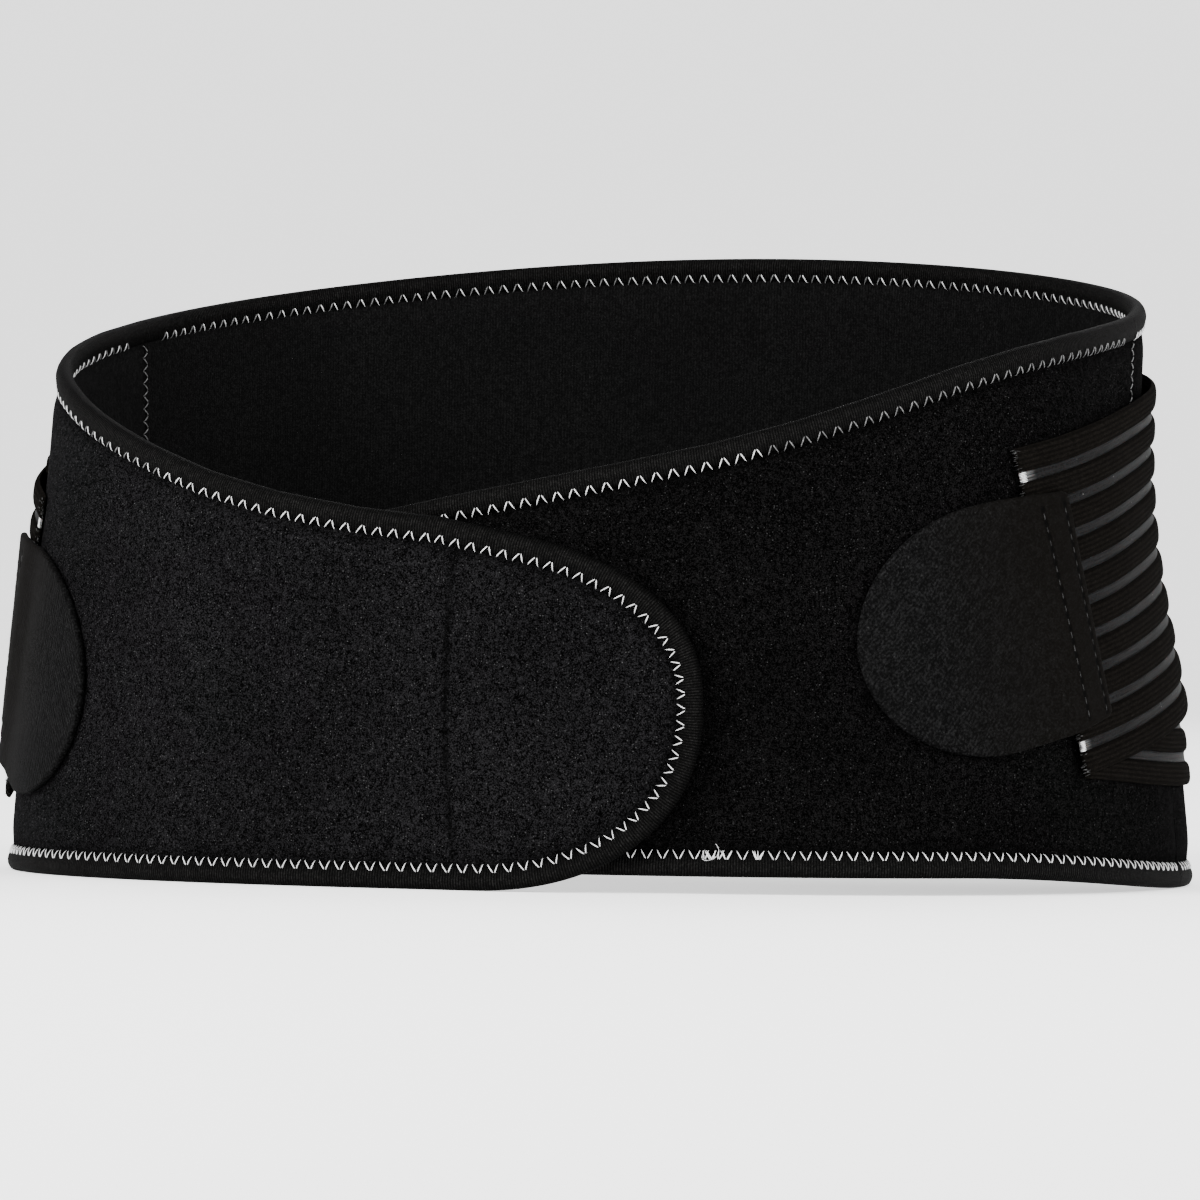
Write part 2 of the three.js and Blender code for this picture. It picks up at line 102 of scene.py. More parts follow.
@dataclass
class Surface:
    """A closed surface of quads before it becomes a mesh.

    Args:
        points: Vertices in millimetres, one row each.
        quads: Vertex numbers, four to a face.
        weave: Cloth coordinates of each vertex, in millimetres: along, across, and one
            more that the finish explains.
        finish: Number of the finish of each face.
    """

    points: np.ndarray
    quads: np.ndarray
    weave: np.ndarray
    finish: np.ndarray

    @classmethod
    def tube(cls, points: np.ndarray, weave: np.ndarray, finish: int = 0) -> "Surface":
        """Closes a profile carried along a path.

        Args:
            points: Array of stations, profile points and 3 coordinates. The profile has
                an even number of points and closes on itself.
            weave: Array of the same shape.
            finish: Number of the finish.

        Returns:
            The surface, with both of its ends capped and its faces turned outwards.
        """
        stations, ring = points.shape[:2]
        row = np.arange(stations - 1)[:, None] * ring
        place = np.arange(ring)[None, :]
        after = (place + 1) % ring
        walls = np.stack([row + place, row + after, row + ring + after, row + ring + place], -1)
        cap = np.arange(ring // 2 - 1)
        first = np.stack([cap, ring - 1 - cap, ring - 2 - cap, cap + 1], -1)
        last = first[:, ::-1] + (stations - 1) * ring
        quads = np.concatenate([walls.reshape(-1, 4), first, last])
        made = cls(points.reshape(-1, 3), quads, weave.reshape(-1, 3),
                   np.full(len(quads), finish, np.int32))
        return made.outward()

    @classmethod
    def swept(cls, chart: Callable, along: np.ndarray, across: np.ndarray, out: np.ndarray,
              finish: int = 0) -> "Surface":
        """Carries one section along a chart, whose coordinates become the weave.

        Args:
            chart: Function of along, across and out that gives points.
            along: Stations of the section.
            across: Across of each point of the section.
            out: Out of each point of the section.
            finish: Number of the finish.

        Returns:
            The closed surface.
        """
        weave = spread(along[:, None], across[None, :], out[None, :])
        return cls.tube(chart(weave[..., 0], weave[..., 1], weave[..., 2]), weave, finish)

    @classmethod
    def joined(cls, parts: list["Surface"]) -> "Surface":
        """One surface made of several."""
        starts = np.cumsum([0] + [len(part.points) for part in parts[:-1]])
        quads = [part.quads + start for part, start in zip(parts, starts)]
        return cls(np.concatenate([part.points for part in parts]), np.concatenate(quads),
                   np.concatenate([part.weave for part in parts]),
                   np.concatenate([part.finish for part in parts]))

    def outward(self) -> "Surface":
        """The same surface with its faces turned outwards, told by its signed volume."""
        first, second, third, fourth = np.moveaxis(
            self.points[self.quads] - self.points.mean(axis=0), 1, 0)
        if (first * (np.cross(second, third) + np.cross(third, fourth))).sum() < 0:
            self.quads = self.quads[:, ::-1].copy()
        return self

    def piece(self, name: str, finishes: list[bpy.types.Material], slot: str) -> bpy.types.Object:
        """Makes the mesh object.

        Args:
            name: Name of the object and its mesh.
            finishes: Materials, in the order of the finish numbers.
            slot: The record's slot for the piece; not used.

        Returns:
            The object, which rides on the root body.
        """
        mesh = bpy.data.meshes.new(name)
        mesh.vertices.add(len(self.points))
        mesh.vertices.foreach_set("co", (self.points * MM).astype(np.float32).ravel())
        mesh.loops.add(self.quads.size)
        mesh.loops.foreach_set("vertex_index", self.quads.astype(np.int32).ravel())
        mesh.polygons.add(len(self.quads))
        mesh.polygons.foreach_set("loop_start", np.arange(0, self.quads.size, 4, dtype=np.int32))
        for finish in finishes:
            mesh.materials.append(finish)
        mesh.polygons.foreach_set("material_index", self.finish)
        weave = mesh.attributes.new("weave", "FLOAT_VECTOR", "POINT")
        weave.data.foreach_set("vector", self.weave.astype(np.float32).ravel())
        mesh.update(calc_edges=True)
        mesh.shade_smooth()
        made = bpy.data.objects.new(name, mesh)
        bpy.context.scene.collection.objects.link(made)
        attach(made, "root")
        LOG.info("%s: %d faces", name, len(self.quads))
        return made


# ---- Shape of the belt


@dataclass
class Ring:
    """Plan of the belt, a superellipse walked round from the front centre, that leans in."""

    half_width: float = 190.8
    half_depth: float = 143.6
    squareness: float = 2.36
    flare: float = 0.088
    draw: float = 6.4
    draw_start: float = 200.0
    draw_full: float = 300.0
    draw_height: float = 118.0
    draw_span: float = 84.0
    samples: int = 24000

    def __post_init__(self) -> None:
        """Measures the outline."""
        self.turns = np.linspace(0.0, 2.0 * math.pi, self.samples + 1)
        x, y = self.outline(self.turns)
        self.arcs = np.concatenate([[0.0], np.cumsum(np.hypot(np.diff(x), np.diff(y)))])
        self.girth = float(self.arcs[-1])
        self.back = self.girth / 2.0

    def outline(self, turn: np.ndarray) -> tuple[np.ndarray, np.ndarray]:
        """Plan coordinates at a turn from the front centre."""
        angle = turn - math.pi / 2.0
        across = np.abs(np.cos(angle) / self.half_width) ** self.squareness
        deep = np.abs(np.sin(angle) / self.half_depth) ** self.squareness
        radius = (across + deep) ** (-1.0 / self.squareness)
        return radius * np.cos(angle), radius * np.sin(angle)

    def wrapped(self, reach: np.ndarray) -> np.ndarray:
        """Reach brought to the half ring on either side of the front centre."""
        return reach - self.girth * np.round(reach / self.girth)

    def place(self, reach: np.ndarray, height: np.ndarray, stand: np.ndarray) -> np.ndarray:
        """Points of the ring.

        The point of the superellipse at a reach is moved along its normal by the stand,
        less a lean that grows with height, less the draw of the waist, which is a squared
        cosine in height.

        Args:
            reach: Distance round the ring.
            height: Height above the floor.
            stand: Distance out from the face of the back panel.

        Returns:
            Coordinates in millimetres, in a last axis of 3.
        """
        reach, height, stand = np.broadcast_arrays(reach, height, stand)
        x, y = self.outline(np.interp(np.mod(reach, self.girth), self.arcs, self.turns))
        power = self.squareness - 1.0
        slope_x = np.sign(x) * np.abs(x / self.half_width) ** power / self.half_width
        slope_y = np.sign(y) * np.abs(y / self.half_depth) ** power / self.half_depth
        size = np.hypot(slope_x, slope_y)
        level = np.minimum(np.abs(height - self.draw_height) / self.draw_span, 1.0)
        drawn = self.draw * np.cos(level * math.pi / 2.0) ** 2
        drawn = drawn * smooth(np.abs(self.wrapped(reach)), self.draw_start, self.draw_full)
        out = stand - self.flare * height - drawn
        return np.stack([x + slope_x / size * out, y + slope_y / size * out, height], -1)


@dataclass
class Pattern:
    """Flat cutting pattern: edge heights and stands of the cloth round the ring."""

    ring: Ring
    front_height: float = 113.3
    side_height: float = 179.6
    back_height: float = 204.0
    seam: float = 290.0
    seam_gap: float = 0.3
    overlap: float = 87.0
    tip_height: float = 55.0
    tip_flat: float = 3.4
    end_slope: float = 0.2
    top_round: float = 62.0
    top_square: float = 2.6
    bottom_round: float = 72.0
    bottom_square: float = 2.2
    lift: float = 5.3
    lift_start: float = 170.0
    lift_end: float = 300.0
    under: float = 6.9
    over: float = 0.8
    over_end: float = 15.0
    thickness: float = 4.5
    rise: dict[Side, tuple[float, ...]] = field(default_factory=lambda: {
        Side.RIGHT: (0.0, 0.045, 0.115, 0.214, 0.344, 0.481, 0.621, 0.741, 0.842, 0.928, 1.0),
        Side.LEFT: (0.02, 0.10, 0.18, 0.266, 0.374, 0.50, 0.63, 0.745, 0.845, 0.928, 1.0),
    })

    def hem(self, reach: np.ndarray, side: Side | None = None) -> np.ndarray:
        """Lift of the bottom edge; without a side, each reach has the side it lies on."""
        near = self.ring.wrapped(np.asarray(reach, float))
        raised = self.lift * (1.0 - smooth(near, self.lift_start, self.lift_end))
        if side is None:
            return np.where(near > 0, raised, 0.0)
        return raised if side is Side.LEFT else np.zeros_like(raised)

    def top(self, distance: np.ndarray, side: Side) -> np.ndarray:
        """Height of the top edge at a distance from the front centre, without the lift."""
        rows = np.linspace(0.0, self.seam, len(self.rise[side]))
        rise = np.interp(distance, rows, self.rise[side])
        back = np.clip((distance - self.seam) / (self.ring.back - self.seam), 0.0, 1.0)
        return (self.front_height - self.end_slope * np.maximum(-distance, 0.0)
                + rise * (self.side_height - self.front_height)
                + np.sin(back * math.pi / 2.0) * (self.back_height - self.side_height))

    def front_stand(self, reach: np.ndarray, side: Side) -> np.ndarray:
        """Stand of a front panel: the left runs underneath, the right over the hook patch."""
        if side is Side.LEFT:
            return -self.under * (1.0 - smooth(reach, self.overlap, self.seam))
        return self.over * smooth(reach, 0.0, self.over_end)

    def face(self, reach: np.ndarray) -> np.ndarray:
        """Stand of the outermost panel beside the straps and tabs."""
        near = self.ring.wrapped(np.asarray(reach, float))
        return np.where(near > 0, self.front_stand(near, Side.LEFT), 0.0)

    def front_rails(self, side: Side, step: float, turns: int) -> tuple[np.ndarray, np.ndarray]:
        """Bottom and top edge of a front panel, from its seam to the tip of its round end.

        Beyond the front centre both edges turn into the tip along superellipse quarters.

        Args:
            side: The panel's side.
            step: Step along the straight edges.
            turns: Steps round each quarter.

        Returns:
            Two arrays of (reach, height), with as many rows each.
        """
        distance = even(self.seam - self.seam_gap / 2.0, 0.0, step)
        turn = math.acos(self.tip_flat / 2.0 / self.tip_height)
        share = np.sin(np.linspace(0.0, turn, turns + 1))
        low = -self.overlap + self.bottom_round * (1.0 - share)
        high = -self.overlap + self.top_round * (1.0 - share)
        low_round = (1.0 - share ** self.bottom_square) ** (1.0 / self.bottom_square)
        high_round = (1.0 - share ** self.top_square) ** (1.0 / self.top_square)
        tops = self.tip_height + (self.top(high, side) - self.tip_height) * high_round
        bottom = np.stack([np.concatenate([distance, low]), np.concatenate(
            [np.zeros_like(distance), self.tip_height * (1.0 - low_round)])], -1)
        top = np.stack([np.concatenate([distance, high]), np.concatenate(
            [self.top(distance, side), tops])], -1)
        for rail in (bottom, top):
            rail[:, 0] *= side.value
            rail[:, 1] += self.hem(rail[:, 0], side)
        return bottom, top

    def back_rails(self, step: float) -> tuple[np.ndarray, np.ndarray]:
        """Bottom and top edge of the back panel, from the left seam round to the right."""
        gap = self.seam + self.seam_gap / 2.0
        reach = even(gap, self.ring.girth - gap, step)
        near = self.ring.wrapped(reach)
        hem = self.hem(reach)
        top = np.where(near > 0, self.top(np.abs(near), Side.LEFT),
                       self.top(np.abs(near), Side.RIGHT))
        return np.stack([reach, hem], -1), np.stack([reach, hem + top], -1)


def normals(path: np.ndarray, ahead: int) -> np.ndarray:
    """Unit vectors square to a path of (reach, height), pointing into the panel.

    Args:
        path: The path, whose ends stand upright at side seams.
        ahead: 1 where the panel is on the left of the path, -1 where it is on the right.

    Returns:
        One vector for each point.
    """
    along = np.concatenate([path[1:2] - path[:1], path[2:] - path[:-2], path[-1:] - path[-2:-1]])
    along[[0, -1], 1] = 0.0
    along /= np.linalg.norm(along, axis=1, keepdims=True)
    return ahead * np.stack([-along[:, 1], along[:, 0]], -1)


class Rim:
    """A bound edge, as a path on the pattern with depth counted into the panel."""

    def __init__(self, pattern: Pattern, path: np.ndarray, ahead: int, side: Side | None,
                 step: float = 1.5) -> None:
        """Walks the path in even steps.

        Args:
            pattern: The cutting pattern.
            path: Fine path of (reach, height).
            ahead: 1 where the panel is on the left of the path, -1 where on the right.
            side: The front panel's side, or None for the back panel.
            step: Step of the stations.
        """
        self.pattern, self.side = pattern, side
        walked = walk_length(path)
        self.length = float(walked[-1])
        self.along = even(0.0, self.length, step)
        self.path = np.stack([np.interp(self.along, walked, path[:, axis]) for axis in (0, 1)], -1)
        self.normals = normals(self.path, ahead)

    def heading(self, along: np.ndarray) -> np.ndarray:
        """How much the path runs towards growing reach at a spot, from -1 to 1."""
        return np.interp(along, self.along, np.gradient(self.path[:, 0], self.along))

    def stand(self, reach: np.ndarray) -> np.ndarray:
        """Stand of the panel's outer face."""
        if self.side is None:
            return np.zeros_like(reach)
        return self.pattern.front_stand(reach, self.side)

    def place(self, along: np.ndarray, depth: np.ndarray, out: np.ndarray) -> np.ndarray:
        """Points at a length along the edge, a depth into the panel and a stand off its face."""
        along, depth, out = np.broadcast_arrays(along, depth, out)
        spot = [np.interp(along, self.along, self.path[:, axis])
                + depth * np.interp(along, self.along, self.normals[:, axis]) for axis in (0, 1)]
        return self.pattern.ring.place(spot[0], spot[1], self.stand(spot[0]) + out)


# ---- Finishes


class Sketch:
    """Adds nodes to a node tree and links them in one call each."""

    def __init__(self, tree: bpy.types.NodeTree) -> None:
        """Keeps the tree."""
        self.tree = tree

    def node(self, kind: str, inputs: dict | None = None, **settings) -> bpy.types.Node:
        """Adds a node.

        Args:
            kind: Node type after "ShaderNode".
            inputs: Values or sockets by input name or number.
            **settings: Properties of the node.

        Returns:
            The node.
        """
        made = self.tree.nodes.new("ShaderNode" + kind)
        for name, value in settings.items():
            setattr(made, name, value)
        for name, value in (inputs or {}).items():
            self.feed(made.inputs[name], value)
        return made

    def feed(self, socket: bpy.types.NodeSocket, value) -> None:
        """Links a socket or sets its value."""
        if isinstance(value, bpy.types.NodeSocket):
            self.tree.links.new(value, socket)
        else:
            socket.default_value = value

    def maths(self, operation: str, *values) -> bpy.types.NodeSocket:
        """Output of a math node."""
        return self.node("Math", dict(enumerate(values)), operation=operation).outputs[0]

    def times(self, first, second) -> bpy.types.NodeSocket:
        """Product of two values."""
        return self.maths("MULTIPLY", first, second)

    def plus(self, first, second) -> bpy.types.NodeSocket:
        """Sum of two values."""
        return self.maths("ADD", first, second)

    def less(self, first, second) -> bpy.types.NodeSocket:
        """The first value less the second."""
        return self.maths("SUBTRACT", first, second)

    def scaled(self, value, factor: float, offset: float) -> bpy.types.NodeSocket:
        """A value times a factor, plus an offset."""
        return self.maths("MULTIPLY_ADD", value, factor, offset)

    def split(self, vector) -> list[bpy.types.NodeSocket]:
        """The three parts of a vector."""
        return list(self.node("SeparateXYZ", {0: vector}).outputs)

    def ranged(self, value, low: float, high: float, to_low: float = 0.0,
               to_high: float = 1.0) -> bpy.types.NodeSocket:
        """A value brought from one range to another, clamped."""
        return self.node("MapRange", {"Value": value, "From Min": low, "From Max": high,
                                      "To Min": to_low, "To Max": to_high}).outputs[0]

    def fading(self, value, low: float, high: float) -> bpy.types.NodeSocket:
        """1 below low, falling to 0 at high."""
        return self.ranged(value, low, high, 1.0, 0.0)

    def blend(self, share, first, second) -> bpy.types.NodeSocket:
        """Blend of two colours."""
        return self.node("Mix", {0: share, 6: first, 7: second}, data_type="RGBA").outputs[2]

    def noise(self, vector, scale: float, detail: float = 2.0,
              roughness: float = 0.5) -> bpy.types.NodeSocket:
        """Value of a noise texture."""
        return self.node("TexNoise", {"Vector": vector, "Scale": scale, "Detail": detail,
                                      "Roughness": roughness}).outputs[0]


class Library:
    """Node groups that several finishes share, each built once."""

    made: dict[str, bpy.types.NodeTree] = {}

    @classmethod
    def group(cls, name: str, inputs: dict[str, str], outputs: dict[str, str],
              draw) -> bpy.types.NodeTree:
        """Gives the group of that name, drawing it the first time.

        Args:
            name: Name of the group.
            inputs: Socket types after "NodeSocket", by name.
            outputs: The same for what it gives out.
            draw: Function of a sketch and the inputs that returns the outputs by name.

        Returns:
            The node tree.
        """
        if name not in cls.made:
            tree = bpy.data.node_groups.new(name, "ShaderNodeTree")
            for way, sockets in (("INPUT", inputs), ("OUTPUT", outputs)):
                for label, kind in sockets.items():
                    tree.interface.new_socket(label, in_out=way, socket_type="NodeSocket" + kind)
            entry = tree.nodes.new("NodeGroupInput")
            leave = tree.nodes.new("NodeGroupOutput")
            for label, socket in draw(Sketch(tree), entry.outputs).items():
                tree.links.new(socket, leave.inputs[label])
            cls.made[name] = tree
        return cls.made[name]

    @classmethod
    def fibre_mottle(cls) -> bpy.types.NodeTree:
        """Mottled cloth colour with sparse light specks of lint, and a fuzzy height."""
        def draw(sketch: Sketch, given) -> dict:
            """Fine fibres, clumps of them, slow clouds, and a dot of lint in some cells."""
            vector, scale = given["Vector"], given["Scale"]
            fine = sketch.noise(vector, scale, 2.0, 0.8)
            clump = sketch.noise(vector, sketch.times(scale, 0.3), 1.0)
            cloud = sketch.noise(vector, 26.0)
            lint = sketch.node("TexVoronoi", {"Vector": vector, "Scale": sketch.times(scale, 0.55),
                                              "Randomness": 1.0})
            dot = sketch.fading(lint.outputs["Distance"], 0.1, 0.26)
            rare = sketch.node("SeparateColor", {0: lint.outputs["Color"]}).outputs[0]
            speck = sketch.times(dot, sketch.ranged(rare, given["Rarity"], 1.0))
            grain = sketch.plus(sketch.ranged(fine, 0.44, 0.66, 0.0, 1.05),
                                sketch.ranged(clump, 0.38, 0.66, -0.16, 0.16))
            tone = sketch.times(grain, sketch.ranged(cloud, 0.35, 0.65, 0.85, 1.12))
            cloth = sketch.blend(tone, given["Dark"], given["Light"])
            return {"Color": sketch.blend(speck, cloth, given["Speck"]),
                    "Height": sketch.plus(fine, sketch.times(speck, 0.5))}
        return cls.group("fibre_mottle", {
            "Vector": "Vector", "Dark": "Color", "Light": "Color", "Speck": "Color",
            "Scale": "Float", "Rarity": "Float"}, {"Color": "Color", "Height": "Float"}, draw)

    @classmethod
    def rib_lines(cls) -> bpy.types.NodeTree:
        """Fine ribs at a pitch across one coordinate, slightly uneven."""
        def draw(sketch: Sketch, given) -> dict:
            """A sine across the coordinate, with its place and its height unsteady."""
            waver = sketch.times(sketch.noise(given["Vector"], 0.35, 1.0), given["Waver"])
            turns = sketch.maths("DIVIDE", sketch.plus(given["Coordinate"], waver), given["Pitch"])
            wave = sketch.maths("SINE", sketch.times(turns, math.tau))
            uneven = sketch.ranged(sketch.noise(given["Vector"], 1.6), 0.3, 0.7, 0.55, 1.0)
            return {"Height": sketch.times(sketch.scaled(wave, 0.5, 0.5), uneven),
                    "Groove": sketch.fading(wave, -0.8, 0.5)}
        return cls.group("rib_lines", {
            "Coordinate": "Float", "Vector": "Vector", "Pitch": "Float", "Waver": "Float"},
            {"Height": "Float", "Groove": "Float"}, draw)

    @classmethod
    def ribs(cls, sketch: Sketch, coordinate, woven, pitch: float, waver: float) -> tuple:
        """Height and groove of fine ribs in a finish."""
        made = sketch.node("Group", {"Coordinate": coordinate, "Vector": woven, "Pitch": pitch,
                                     "Waver": waver}, node_tree=cls.rib_lines())
        return made.outputs["Height"], made.outputs["Groove"]


@dataclass(frozen=True)
class Finish:
    """A cloth-like finish; its kinds add their own pattern to colour and height."""

    name: str
    dark: Colour
    light: Colour
    speck: Colour
    scale: float = 900.0
    rarity: float = 0.72
    roughness: float = 0.9
    gloss: float = 0.05
    bump: float = 0.35
    bump_size: float = 0.0002

    def material(self) -> bpy.types.Material:
        """Builds the material."""
        made = bpy.data.materials.new(self.name)
        made.use_nodes = True
        made.node_tree.nodes.clear()
        sketch = Sketch(made.node_tree)
        place = sketch.node("TexCoord").outputs["Object"]
        woven = sketch.node("Attribute", attribute_name="weave").outputs["Vector"]
        mottle = sketch.node("Group", {
            "Vector": place, "Dark": self.dark, "Light": self.light, "Speck": self.speck,
            "Scale": self.scale, "Rarity": self.rarity}, node_tree=Library.fibre_mottle())
        colour, height = self.pattern(sketch, woven, mottle.outputs[0], mottle.outputs[1])
        raised = sketch.node("Bump", {"Strength": self.bump, "Distance": self.bump_size,
                                      "Height": height})
        shader = sketch.node("BsdfPrincipled", {
            "Base Color": colour, "Roughness": self.roughness, "Specular IOR Level": self.gloss,
            "Normal": raised.outputs[0]})
        self.dress(sketch, shader)
        sketch.node("OutputMaterial", {"Surface": shader.outputs[0]})
        return made

    def pattern(self, sketch: Sketch, woven, colour, height) -> tuple:
        """Colour and height with the finish's own pattern."""
        return colour, height

    def dress(self, sketch: Sketch, shader: bpy.types.Node) -> None:
        """Sets what else differs on the shader."""


@dataclass(frozen=True)
class Plush(Finish):
    """Brushed loop cloth, with painted shade where it dips beside the bound edge and along a
    crease.
    """

    # Strengths of the painted shade beside the bound edge and along the crease.
    dip_shade: float = 0.6
    crease: float = 0.0

    def pattern(self, sketch: Sketch, woven, colour, height) -> tuple:
        """Paints shade where the cloth dips beside the edge and along the crease, from reach,
        height and distance from the edge.
        """
        reach, tall, depth = sketch.split(woven)
        dark = sketch.times(sketch.fading(depth, 7.0, 12.0), self.dip_shade)
        if self.crease:
            bend = sketch.maths("POWER", sketch.less(tall, CREASE_HEIGHT), 2.0)
            line = sketch.scaled(bend, CREASE_BEND, CREASE_REACH)
            wobble = sketch.scaled(sketch.noise(woven, 0.45, 4.0, 0.7), 4.4, -2.2)
            away = sketch.maths("ABSOLUTE", sketch.less(sketch.plus(reach, wobble), line))
            broken = sketch.ranged(sketch.noise(woven, 0.12), 0.35, 0.6, 0.35, 1.0)
            fold = sketch.times(sketch.fading(away, 0.0, 2.0), sketch.times(broken, self.crease))
            dark = sketch.maths("MAXIMUM", dark, fold)
        # The painted shade blends the cloth towards near black.
        return sketch.blend(dark, colour, grey(0.0008)), height


@dataclass(frozen=True)
class Ribbed(Finish):
    """Ribs across or along a tape, from its cloth coordinates."""

    pitch: float = 0.62
    across: bool = False
    waver: float = 0.25
    # How strongly the grooves are painted with shade.
    groove: float = 0.6

    def pattern(self, sketch: Sketch, woven, colour, height) -> tuple:
        """Paints shade into the grooves and raises the ribs."""
        way = sketch.split(woven)[1 if self.across else 0]
        ribs, groove = Library.ribs(sketch, way, woven, self.pitch, self.waver)
        # The grooves between the ribs are painted with shade.
        dark = sketch.blend(sketch.times(groove, self.groove), colour, grey(0.0006))
        return dark, sketch.plus(ribs, sketch.times(height, 0.35))


@dataclass(frozen=True)
class Folded(Ribbed):
    """Ribbed tape folded over an edge, with painted shade beside the stitches and at the fold, so
    the middle of each leg looks lit.
    """

    run: float = TAPE_RUN

    def pattern(self, sketch: Sketch, woven, colour, height) -> tuple:
        """Paints shade on both legs beside the stitches and on the nose, by the way round the
        section.
        """
        walked = sketch.split(woven)[1]
        near = sketch.maths("MINIMUM", walked, sketch.less(self.run, walked))
        # Painted shade of the tape's roll: full colour in the middle of each leg, darker beside the
        # stitches and at the fold.
        roll_lit = sketch.times(sketch.ranged(near, 0.6, 4.0, 0.42, 1.0),
                            sketch.ranged(near, 5.2, 7.2, 1.0, 0.35))
        roll_shaded = sketch.blend(sketch.less(1.0, roll_lit), colour, grey(0.0008))
        return super().pattern(sketch, woven, roll_shaded, height)


@dataclass(frozen=True)
class Twill(Finish):
    """Diagonal weave, pressed smooth and darker towards the tab's straight edge."""

    pitch: float = 1.3
    slant: float = math.radians(38.0)
    strip: tuple[float, float] = (20.0, 46.0)
    pressed: tuple[float, float] = (12.0, 62.0)

    def pattern(self, sketch: Sketch, woven, colour, height) -> tuple:
        """Draws diagonal lines broken by the crossing yarns, with painted shade in their grooves
        and in the stitch dents.
        """
        parts = sketch.split(woven)
        lines = []
        for turn, pitch in ((self.slant, self.pitch),
                            (self.slant + math.pi / 2.0, self.pitch * 1.15)):
            slanted = sketch.plus(sketch.times(parts[0], math.sin(turn)),
                                  sketch.times(parts[1], math.cos(turn)))
            lines.append(Library.ribs(sketch, slanted, woven, pitch, 1.3))
        plain = sketch.ranged(parts[0], *self.strip, 0.1, 1.0)
        cross = sketch.scaled(lines[1][1], 0.5, 0.25)
        groove = sketch.times(lines[0][1], sketch.times(plain, cross))
        # The twill grooves are painted with shade.
        dark = sketch.blend(groove, colour, grey(0.0012))
        strip = sketch.blend(sketch.ranged(parts[0], *self.pressed, 0.8, 0.0), dark,
                             grey(0.0017, 0.2))
        dents = self.dents(sketch, parts)
        raised = sketch.less(sketch.times(lines[0][0], plain), sketch.times(dents, 1.5))
        # The stitch dents and needle holes are painted with shade as well as sunk.
        return (sketch.blend(dents, strip, grey(0.0006)),
                sketch.plus(raised, sketch.times(height, 0.4)))

    def dents(self, sketch: Sketch, parts) -> bpy.types.NodeSocket:
        """1 in the dents that the two rows of stitches press, deepest at the needle holes."""
        turn = sketch.times(sketch.plus(parts[1], TAB_ROW_HALF + 0.6), math.tau / TAB_STITCH)
        holes = sketch.scaled(sketch.maths("COSINE", turn), 0.3, 0.55)
        inside = sketch.fading(sketch.maths("ABSOLUTE", parts[1]), TAB_ROW_HALF, TAB_ROW_HALF + 1.0)
        away = [sketch.maths("ABSOLUTE", sketch.less(parts[0], row)) for row in TAB_ROWS]
        line = sketch.fading(sketch.maths("MINIMUM", *away), 0.35, 1.1)
        return sketch.times(line, sketch.times(holes, inside))


@dataclass(frozen=True)
class Film(Finish):
    """Thin elastic film between the ribs, a little glossy, streaked and pale at its cut end."""

    cut: float = STRAP_END

    def pattern(self, sketch: Sketch, woven, colour, height) -> tuple:
        """Streaks the film along its length."""
        stretched = sketch.node("Mapping", {"Vector": woven, "Scale": (0.07, 2.2, 1.0)})
        streak = sketch.noise(stretched.outputs[0], 1.0, 3.0, 0.6)
        tone = sketch.ranged(streak, 0.34, 0.68)
        cut = sketch.times(sketch.fading(sketch.split(woven)[0], self.cut, self.cut + 6.0), tone)
        film = sketch.blend(tone, colour, self.light)
        return (sketch.blend(cut, film, self.speck),
                sketch.plus(sketch.times(height, 0.3), streak))

    def dress(self, sketch: Sketch, shader: bpy.types.Node) -> None:
        """Lets a little light through."""
        sketch.feed(shader.inputs["Subsurface Weight"], 0.1)
        sketch.feed(shader.inputs["Subsurface Scale"], 0.002)


